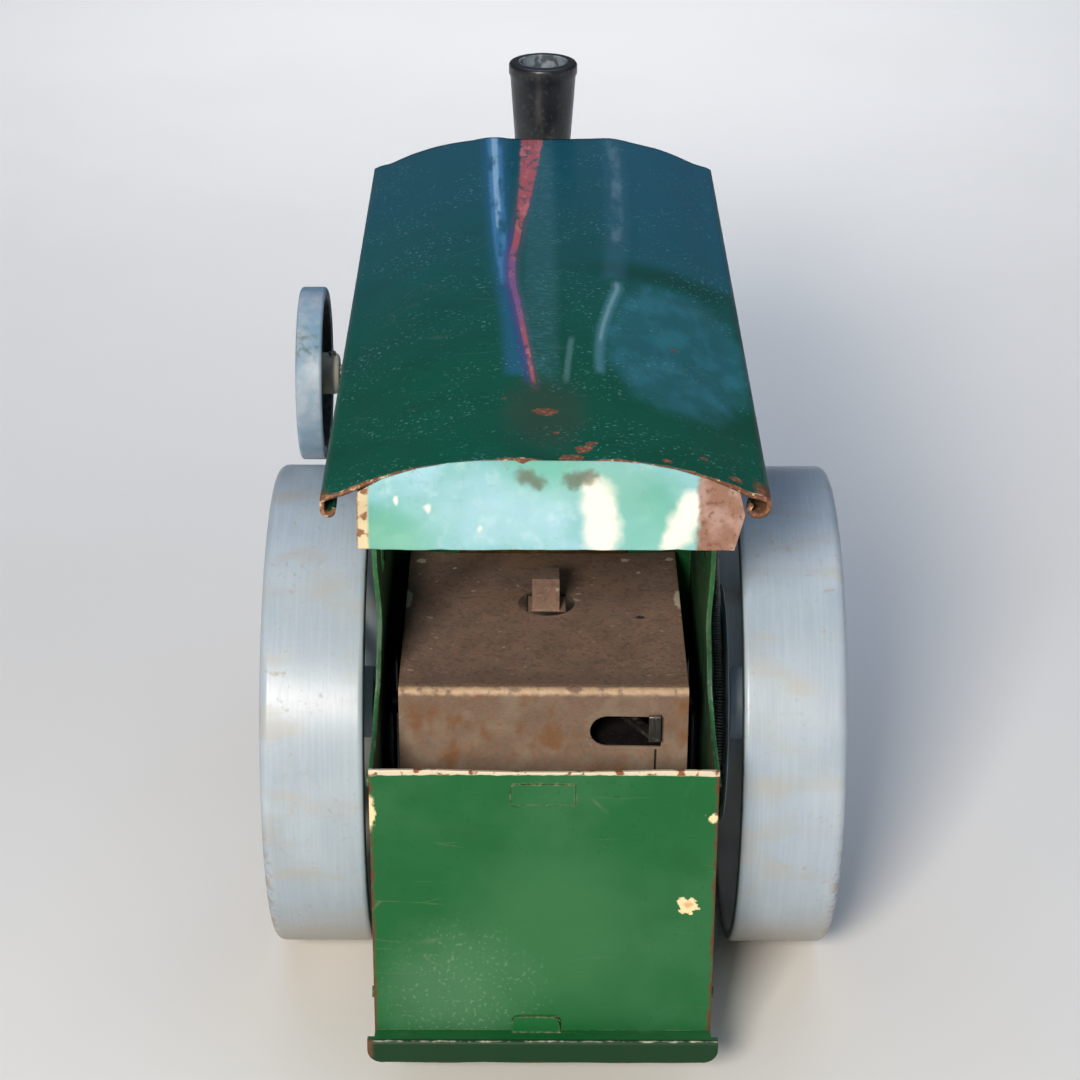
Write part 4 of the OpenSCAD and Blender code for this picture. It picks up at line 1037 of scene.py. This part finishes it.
@dataclass
class Firebox:
    """The folded firebox casing and its peg: plain steel sheet, heat-browned, pitted and rusted."""

    shop: Shop

    def rusted(self, name: str) -> Surface:
        """Brown rusted sheet steel: no gloss, clouds of orange and grey, dust in its pits."""
        rust = Surface(name, "#826B5E", 0.85)
        for size, low, high, seed, share, colour in (
                (14, 0.35, 0.7, 1.0, 0.8, "#8A6E5C"), (6, 0.42, 0.7, 4.0, 0.6, "#705A50"),
                (3.2, 0.5, 0.72, 6.0, 0.6, "#93715E")):
            rust.lay(rust.patches(size, low, high, seed), colour, share=share)
        rust.lay(rust.patches(1.2, 0.5, 0.66, 9.0), "#58483F", lift=-0.04, share=0.45)
        rust.lay(rust.patches(0.45, 0.35, 0.7, 12.0, detail=2.0), lift=0.025)
        rust.lay(rust.patches(0.7, 0.58, 0.72, 14.0, detail=2.0), "#A38F80", 0.8, share=0.4)
        rust.lay(rust.patches(1.5, 0.80, 0.86, 17.0, detail=0.0), "#CFC6B8", 0.8, share=0.4)
        return rust

    def build(self) -> None:
        """Builds the warped casing and dresses the peg."""
        low, high = (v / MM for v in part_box("firebox_casing"))
        c = (low.x + high.x) / 2

        def push(place: Point) -> Point:
            """Sinks the top a little and bows the rear face."""
            x, y, z = place
            top = smooth(z, high.z - 3, high.z - 1)
            inner = smooth(abs(x - c), 29, 18) * smooth(y, low.y, low.y + 12)
            sink = top * (0.45 * inner + 0.12 * noise.noise(Vector((x / 9, y / 9, 1))))
            back = smooth(y, low.y + 3, low.y + 1) * smooth(z, high.z, high.z - 8)
            bow = back * (0.3 * smooth(abs(x - c), 29, 10) + 0.1 * noise.noise(Vector((x / 8, z / 8, 4))))
            return (0.0, max(0.0, bow), -max(0.0, sink))

        rust = self.rusted("rusted_rolled_steel_sheet")
        rear = rust.beyond(rust.y, low.y + 1.6, -0.8)
        rust.lay(rear, "#7C6A59", share=0.6)
        rust.lay(rust.both(rear, rust.patches(6.5, 0.42, 0.68, 31.0)), "#8C7B6A", share=0.9)
        rust.lay(rust.both(rear, rust.patches(5.0, 0.48, 0.7, 33.0, (1, 1, 0.6))), "#7C5536", 0.85,
                 share=0.9)
        rust.lay(rust.both(rear, rust.patches(1.8, 0.56, 0.72, 35.0)), "#8F5A38", 0.85, share=0.5)
        sooty = rust.spot((0, low.y + 3, high.z), 1.0, 6.0, 1.5, 5.0, (0, 1, 1))
        rust.lay(rust.both(sooty, rust.beyond(rust.y, low.y + 2, 1.0)), "#4A3D36", share=0.3)
        # pale tan band along the rear top bend: partly worn bare steel, partly a painted highlight on the rounded
        # bend
        bend = rust.spot((0, low.y + 0.9, high.z - 0.9), 0.5, 0.7, 0.35, 1.6, (0, 1, 1))
        rust.lay(rust.both(bend, rust.patches(2.2, 0.3, 0.5, 36.0)), "#C2A588", 0.6, 0.1)
        ends = rust.either(rust.spot((c - 29.4, low.y + 41, high.z), 1.0, 0.5, 0.6, 1.2, (1, 0.3, 1)),
                           rust.spot((c + 29.4, low.y + 41, high.z), 1.0, 0.5, 0.6, 1.2, (1, 0.3, 1)))
        for x, y, reach in ((-26.9, 60, 0.9), (18.2, 61.5, 0.8), (28, 61, 0.7), (-19.5, 57, 0.4),
                            (21, 55, 0.4)):
            ends = rust.either(ends, rust.spot((c + x, low.y + y, high.z), reach, 0.3, 0.6, 0.9))
        rust.lay(ends, "#D9CDB8", 0.5, 0.2)
        slash = rust.spot((c + 20.6, low.y + 33.5, high.z), 0.4, 0.3, 0.3, 1.0, (0.5, 0.6, 1))
        seam = rust.both(rust.spot((c + 22.9, low.y, 0), 0.16, 0.14, 0.08, 2.0, (1, 1, 0)),
                         rust.beyond(rust.z, high.z - 13.6, -0.4))
        rust.lay(rust.either(slash, rust.both(seam, rear)), "#1E1814", 0.9, lift=-0.15)
        peg_low, peg_high = (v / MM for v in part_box("casing_peg"))
        hole = (peg_low + peg_high) / 2
        # painted shade in the peg hole: its walls near black and its mouth darkened, partly as sooty staining
        shade_and_soot = rust.spot((hole.x + 0.2, hole.y + 0.2, high.z), 4.2, 1.6, 0.5, 1.5, (1, 1, 0.3))
        rust.lay(shade_and_soot, "#241D19", 0.9, share=0.75)
        peg_hole_shade = rust.spot((hole.x + 0.2, hole.y + 0.2, high.z), 5.9, 0.4, 0.0, 1.0, (1, 1, 0.3))
        rust.lay(rust.both(peg_hole_shade, rust.beyond(rust.z, high.z - 0.35, -0.15)), "#0C0A09", 0.95)
        mesh = self.shop.pushed(self.shop.sliced("firebox_casing", (2.0, 2.0, 2.0)), push)
        casing = self.shop.place("firebox_sheet", mesh, rust.done(), Body.CHASSIS, Slot.RUST,
                                 ["firebox_casing"])
        self.shop.round_edges(casing, 0.15)
        peg = self.rusted("rusted_steel_peg")
        peg.lay(peg.beyond(peg.y, peg_low.y + 0.4, -0.2), "#A58E73", 0.7, 0.1)
        peg.lay(peg.edges(0.5, 0.1, 0.3), "#A58F78", 0.6, 0.2)
        self.shop.dress("casing_peg", peg.done(), 0.25)
        self.shade_sheets(low, high)

    def shade_sheets(self, low: Vector, high: Vector) -> None:
        """Near-black sheets put where the firebox shows only shade: a shelf under the damper slot and a strip
        down each side.

        Args:
            low: The casing's lowest corner in mm.
            high: The casing's highest corner in mm.
        """
        shade_and_soot = Surface("black_sheet_painted_shade", "#0E0D0C", 0.9)
        shade_and_soot.lay(shade_and_soot.patches(5, 0.4, 0.7, 2.0), "#191613")
        shade_and_soot.lay(shade_and_soot.patches(0.8, 0.5, 0.7, 6.0), "#241F1A", lift=0.02, share=0.6)
        shade_and_soot.lay(shade_and_soot.edges(0.4, 0.1, 0.3), "#3A2E24", 0.8, share=0.5)
        black = shade_and_soot.done(0.0, 0.3, 0.2)
        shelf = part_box("damper_lever")[0].z / MM - 4.2
        slabs = {"shade_shelf_under_damper": ((low.x + 2, low.y + 0.9, shelf), (high.x - 2, low.y + 19, shelf + 0.8))}
        for name, edge, sign in (("shade_sheet_left", low.x, -1), ("shade_sheet_right", high.x, 1)):
            near, far = sorted((edge + 0.3 * sign, edge + 3.4 * sign))
            slabs[name] = ((near, high.y - 3, low.z + 1), (far, high.y - 2.2, high.z - 20))
        for name, (corner, other) in slabs.items():
            mesh = bmesh.new()
            bmesh.ops.create_cube(mesh, size=1.0)
            size = Vector(other) - Vector(corner)
            for vertex in mesh.verts:
                share = vertex.co + Vector((0.5, 0.5, 0.5))
                vertex.co = (Vector(corner) + Vector(a * b for a, b in zip(size, share))) * MM
            piece = self.shop.place(name, mesh, black, Body.CHASSIS, Slot.RUST, [])
            self.shop.round_edges(piece, 0.1)


@dataclass
class Rollers:
    """Rear and front rollers, the belt pulley and the flywheel, in pale blue-grey enamel."""

    shop: Shop

    def build(self) -> None:
        """Dresses every painted wheel."""
        for node, outer in (("rear_roller_left", 0), ("rear_roller_right", 1)):
            self.shop.dress(node, self.rear(node, outer), 0.3)
        plain = ROLLER_BLUE.start()
        plain.lay(plain.patches(2.5, 0.64, 0.78, 97.0), "#8F7A62", 0.8, share=0.6)
        plain.lay(plain.patches(7, 0.48, 0.72, 98.0, (0.4, 1, 1)), "#A39B8C", 0.55, share=0.5)
        plain.lay(plain.patches(0.5, 0.42, 0.7, 99.0, (1, 0.05, 0.05), 1.0), "#8391A0", 0.5, share=0.3)
        plain = plain.done(ROLLER_BLUE.coat, 0.3)
        for node in ("front_roller_left", "front_roller_right", "roller_pulley"):
            self.shop.dress(node, plain, 0.3)
        self.shop.dress("flywheel", self.flywheel(), 0.25)

    def rear(self, node: str, outer: int) -> bpy.types.Material:
        """Roller paint, rubbed round the tread, with rust along the outer shoulder.

        Args:
            node: The CAD node's name.
            outer: 0 where the outer face has the lowest X, or 1.

        Returns:
            The material.
        """
        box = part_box(node)
        edge = box[outer].x / MM
        sign = 1 if outer else -1
        middle = (box[0] + box[1]) / 2 / MM
        paint = ROLLER_BLUE.start()
        paint.material.name = "sprayed_enamel_blue_grey_" + node
        # rolling has left fine lines round the tread
        rings = paint.patches(0.5, 0.42, 0.7, 13.0, (1, 0.03, 0.03), 1.0)
        paint.lay(rings, "#B9C4CE", 0.4, lift=0.002, share=0.2)
        rub = paint.patches(0.35, 0.55, 0.72, 17.0, (1, 0.05, 0.05), 1.0)
        paint.lay(rub, "#8B9AAA", 0.5, share=0.15)
        near = paint.beyond(paint.x, edge - 2.6 * sign, 2.2 * sign, 0.0)
        stains = paint.both(near, paint.patches(2.4, 0.5, 0.6, 25.0))
        low = paint.beyond(paint.z, middle.z + 6, -24, 6, 8)
        paint.lay(paint.both(stains, low), "#8F7858", 0.75, share=0.55)
        paint.lay(paint.both(paint.both(near, low), paint.patches(1.0, 0.6, 0.66, 27.0)), "#6E5038", 0.8,
                  share=0.7)
        marks = paint.both(paint.patches(1.6, 0.6, 0.76, 29.0), paint.patches(18, 0.42, 0.56, 30.0))
        paint.lay(marks, "#A08C70", 0.7, share=0.5)
        grime = paint.patches(7, 0.5, 0.72, 35.0, (0.4, 1, 1))
        paint.lay(grime, "#A9A294", 0.55, share=0.45)
        # browner towards the bottom
        lower_brown_tint = paint.beyond(paint.z, middle.z - 18, -28, 4, 8)
        paint.lay(lower_brown_tint, "#A0937E", 0.6, share=0.7)
        # painted shade: the side that faces the engine is painted near black where shade falls between roller and
        # side plate, partly oily, sooty grime thrown out by the engine
        engine_side_shade_and_oil = paint.beyond(paint.x, box[1 - outer].x / MM + 0.6 * sign, -0.4 * sign)
        paint.lay(engine_side_shade_and_oil, "#17191B", 0.55, share=0.93)
        paint.lay(paint.both(engine_side_shade_and_oil, paint.patches(6, 0.5, 0.7, 37.0)), "#2B2C2B", 0.7)
        return paint.done(ROLLER_BLUE.coat, 0.3)

    def flywheel(self) -> bpy.types.Material:
        """Blue rim over a dark web, with a turned boss painted cream-white as a painted reflection.

        Returns:
            The material.
        """
        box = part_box("flywheel")
        low, high = box[0] / MM, box[1] / MM
        middle = (low + high) / 2
        paint = ROLLER_BLUE.start()
        paint.material.name = "sprayed_enamel_flywheel"
        paint.lay(paint.patches(8, 0.35, 0.65, 5.0), "#7696AE", 0.6)
        paint.lay(paint.patches(3, 0.4, 0.7, 6.0), "#7392AA", share=0.5)
        paint.lay(paint.beyond(paint.z, middle.z - 4, -14), "#7796B0", share=0.45)
        off = paint.add(VECTOR, {0: paint.mm, 1: tuple(middle)}, operation="SUBTRACT")
        flat = paint.add(VECTOR, {0: off, 1: (0, 1, 1)}, operation="MULTIPLY")
        reach = paint.add(VECTOR, {0: flat}, out="Value", operation="LENGTH")
        web = paint.beyond(reach, 17.6, -0.4)
        paint.lay(web, "#3A4248", 0.55)
        paint.lay(paint.both(web, paint.patches(2.5, 0.5, 0.7, 7.0)), "#4E5960", 0.6)
        # painted reflection: the turned boss is cream-white and not metallic, standing for a pale background
        # mirrored in its steel
        boss = paint.beyond(reach, 4.9, -0.2)
        paint.lay(boss, "#F1EBDA", 0.45, 0.0)
        green = paint.spot((low.x + 2, middle.y - 14, middle.z + 12), 2.5, 3.0, 2.0, 2.5)
        paint.lay(paint.both(green, paint.patches(1.6, 0.4, 0.65, 8.0)), "#5C6A58", 0.7, share=0.7)
        return paint.done(0.0, 0.3, 0.2)


@dataclass
class SpringDrive:
    """The coiled-wire belt and the cylinder's pivot spring, wound turn by turn."""

    shop: Shop
    wire: float = 0.27
    coil: float = 0.8
    pitch: float = 0.66
    steps: int = 9

    def belt_path(self) -> Callable[[float], tuple[Vector, Vector]]:
        """Works out the belt's line round its two pulleys.

        Returns:
            A function of distance along the belt giving a place and the way out of the loop, and its length
            as attribute self.length.
        """
        big_box, small_box, belt_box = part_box("roller_pulley"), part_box("crank_pulley"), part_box("drive_belt")
        big, small = (sum(b, Vector()) / 2 / MM for b in (big_box, small_box))
        plane = (belt_box[0].x + belt_box[1].x) / 2 / MM
        self.plane = plane
        thick = (belt_box[1].x - belt_box[0].x) / MM / 2
        r1 = big.y - belt_box[0].y / MM - thick
        r2 = belt_box[1].y / MM - small.y - thick
        line = Vector((small.y - big.y, small.z - big.z))
        reach, lean = line.length, math.atan2(line.y, line.x)
        open_angle = math.acos((r1 - r2) / reach)
        straight = math.sqrt(reach ** 2 - (r1 - r2) ** 2)
        wrap_small, wrap_big = 2 * open_angle, 2 * math.pi - 2 * open_angle
        self.length = 2 * straight + wrap_small * r2 + wrap_big * r1

        def at(s: float) -> tuple[Vector, Vector]:
            """The belt's middle and its outward direction at a distance along it."""
            s %= self.length
            angle = lean + open_angle
            if s < wrap_big * r1:
                angle += s / r1
                out = Vector((0, math.cos(angle), math.sin(angle)))
                return Vector((plane, big.y, big.z)) + out * r1, out
            s -= wrap_big * r1
            lower = lean - open_angle
            out = Vector((0, math.cos(lower), math.sin(lower)))
            if s < straight:
                start = Vector((plane, big.y, big.z)) + out * r1
                return start + (Vector((plane, small.y, small.z)) + out * r2 - start) * (s / straight), out
            s -= straight
            if s < wrap_small * r2:
                angle = lower + s / r2
                out = Vector((0, math.cos(angle), math.sin(angle)))
                return Vector((plane, small.y, small.z)) + out * r2, out
            s -= wrap_small * r2
            upper = lean + open_angle
            out = Vector((0, math.cos(upper), math.sin(upper)))
            start = Vector((plane, small.y, small.z)) + out * r2
            return start + (Vector((plane, big.y, big.z)) + out * r1 - start) * (s / straight), out

        return at

    def build(self) -> None:
        """Winds the belt and the pivot spring."""
        wire = SPRING_WIRE.material()
        at = self.belt_path()
        turns = round(self.length / self.pitch)
        points = []
        for i in range(turns * self.steps):
            middle, out = at(self.length * i / (turns * self.steps))
            angle = 2 * math.pi * i / self.steps
            across = Vector((1, 0, 0)) * math.sin(angle)
            points.append(middle + self.coil * (out * math.cos(angle) + across))
        self.shop.place("coiled_drive_belt", swept(points, self.wire, 5, True), wire, Body.CHASSIS,
                        Slot.SPRING, ["drive_belt"])
        low, high = (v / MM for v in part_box("pivot_spring"))
        gauge, turns, steps = 0.32, 4.5, 16
        middle = (low + high) / 2
        radius = (high.y - low.y) / 2 - gauge
        run = high.x - low.x - 2 * gauge
        count = int(turns * steps)
        helix = []
        for i in range(count + 1):
            share = i / count
            angle = 2 * math.pi * turns * share
            helix.append(Vector((low.x + gauge + run * share, middle.y + radius * math.cos(angle),
                                 middle.z + radius * math.sin(angle))))
        self.shop.place("pivot_spring_coil", swept(helix, gauge, 8, False), wire, Body.CYLINDER,
                        Slot.SPRING, ["pivot_spring"])


@dataclass
class Works:
    """Everything else: boiler, smokebox, chimney, engine, steering and axles, dressed where they stand."""

    shop: Shop

    def chimney(self) -> bpy.types.Material:
        """Stoved black outside; inside the flue a pale blue-grey painted highlight of its lit inner wall.

        Returns:
            The material.
        """
        low, high = (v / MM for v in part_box("chimney"))
        paint = STOVE_BLACK.start()
        paint.material.name = "stoved_black_enamel_chimney"
        axis = (low + high) / 2
        # painted highlight: the inside of the flue is pale blue-grey, as its lit inner wall
        flue = paint.spot(tuple(axis), 6.1, 0.1, squeeze=(1, 1, 0))
        paint.lay(flue, "#8B98A3", 0.55, 0.2)
        paint.lay(paint.both(flue, paint.patches(3, 0.45, 0.6, 3.0)), "#4C5560", 0.7)
        dust = paint.patches(1.2, 0.55, 0.7, 5.0)
        paint.lay(dust, "#4A4E55", 0.6, share=0.3)
        return paint.done(0.3, 0.25)

    def build(self) -> None:
        """Dresses every CAD node that hasn't a piece of its own."""
        finishes = {
            Slot.GREEN_BODY: BODY_GREEN.material(), Slot.BLACK: STOVE_BLACK.material(),
            Slot.BRASS: TURNED_BRASS.material(), Slot.COPPER: DRAWN_COPPER.material(),
            Slot.STEEL: TURNED_STEEL.material(), Slot.TIN: TINNED_SHEET.material(),
        }
        self.shop.dress("chimney", self.chimney(), 0.2)
        for node, piece in frame["nodes"].items():
            slot = self.shop.node_slot[node]
            if piece.hide_render or piece.modifiers or slot not in finishes:
                continue
            self.shop.dress(node, finishes[slot], 0.12)


@dataclass
class Studio:
    """A pale floor, soft lights and the camera behind and above the roller."""

    eye: Point = (-4.78, -587.68, 349.43)
    lens: float = 92.8
    shift: tuple[float, float] = (0.0021, 0.0502)
    pan: float = -0.17
    tilt: float = 63.53
    roll: float = 0.25
    room_light: float = 0.13

    def light(self, name: str, place: Point, aim: Point, size: float, watts: float, colour: str,
              spread: float = 180.0) -> None:
        """Hangs one soft light.

        Args:
            name: The light's name.
            place: Where it hangs, in metres.
            aim: What it points at, in metres.
            size: Its side in metres.
            watts: Its power.
            colour: sRGB hex of its light.
            spread: The angle it shines into, in degrees.
        """
        lamp = bpy.data.lights.new(name, "AREA")
        lamp.spread = math.radians(spread)
        lamp.size = size
        lamp.energy = watts
        lamp.color = linear(colour)[:3]
        holder = bpy.data.objects.new(name, lamp)
        holder.location = place
        holder.rotation_euler = (Vector(aim) - Vector(place)).to_track_quat("-Z", "Y").to_euler()
        bpy.context.scene.collection.objects.link(holder)

    def floor(self) -> None:
        """Lays a wide pale floor of matt card."""
        mesh = bmesh.new()
        bmesh.ops.create_grid(mesh, x_segments=8, y_segments=8, size=4.0)
        data = bpy.data.meshes.new("floor")
        mesh.to_mesh(data)
        mesh.free()
        card = Surface("matt_card_pale", "#EFEEEC", 0.95)
        card.lay(card.patches(160, 0.4, 0.7, 2.0), "#EAE9E6", share=0.5)
        data.materials.append(card.done())
        floor = bpy.data.objects.new("floor", data)
        bpy.context.scene.collection.objects.link(floor)

    def build(self) -> None:
        """Sets the floor, the lights, the sky and the camera."""
        self.floor()
        aim = (0.0, 0.0, 0.08)
        self.light("key_behind_left", (-0.34, -1.30, 0.75), aim, 0.34, 23.0, "#FFF5E8")
        self.light("fill_right", (1.2, -0.5, 0.8), aim, 1.0, 1.6, "#E6F0FF")
        self.light("sky_above", (0.0, 0.35, 1.5), aim, 1.5, 8.0, "#CFE2FF")
        self.light("floor_wash", (0.0, 0.85, 1.3), (0.0, 0.8, 0.0), 0.5, 1.3, "#FFFFFF", 60.0)
        world = bpy.data.worlds.new("pale_room")
        world.use_nodes = True
        world.node_tree.nodes["Background"].inputs[0].default_value = linear("#D6E2EE")
        world.node_tree.nodes["Background"].inputs[1].default_value = self.room_light
        scene = bpy.context.scene
        scene.world = world
        scene.view_settings.view_transform = "Standard"
        camera = bpy.data.cameras.new("camera")
        camera.sensor_width = 36.0
        camera.lens = self.lens
        camera.shift_x, camera.shift_y = self.shift
        camera.clip_start, camera.clip_end = 0.01, 50.0
        holder = bpy.data.objects.new("camera", camera)
        turn = Matrix.Identity(4)
        for angle, axis in ((self.pan, "Z"), (self.tilt, "X"), (self.roll, "Z")):
            turn = turn @ Matrix.Rotation(math.radians(angle), 4, axis)
        holder.matrix_world = Matrix.Translation(Vector(self.eye) * MM) @ turn
        scene.collection.objects.link(holder)
        scene.camera = holder


def main() -> None:
    """Builds the roller in order."""
    logging.basicConfig(level=logging.INFO, format="%(name)s %(message)s")
    shop = Shop()
    Studio().build()
    for assembly in (Canopy(shop), RearArch(shop), Bunker(shop), Firebox(shop), Rollers(shop),
                     SpringDrive(shop), Works(shop)):
        assembly.build()
        LOG.info("%s is finished", type(assembly).__name__)


if __name__ == "__main__":
    main()
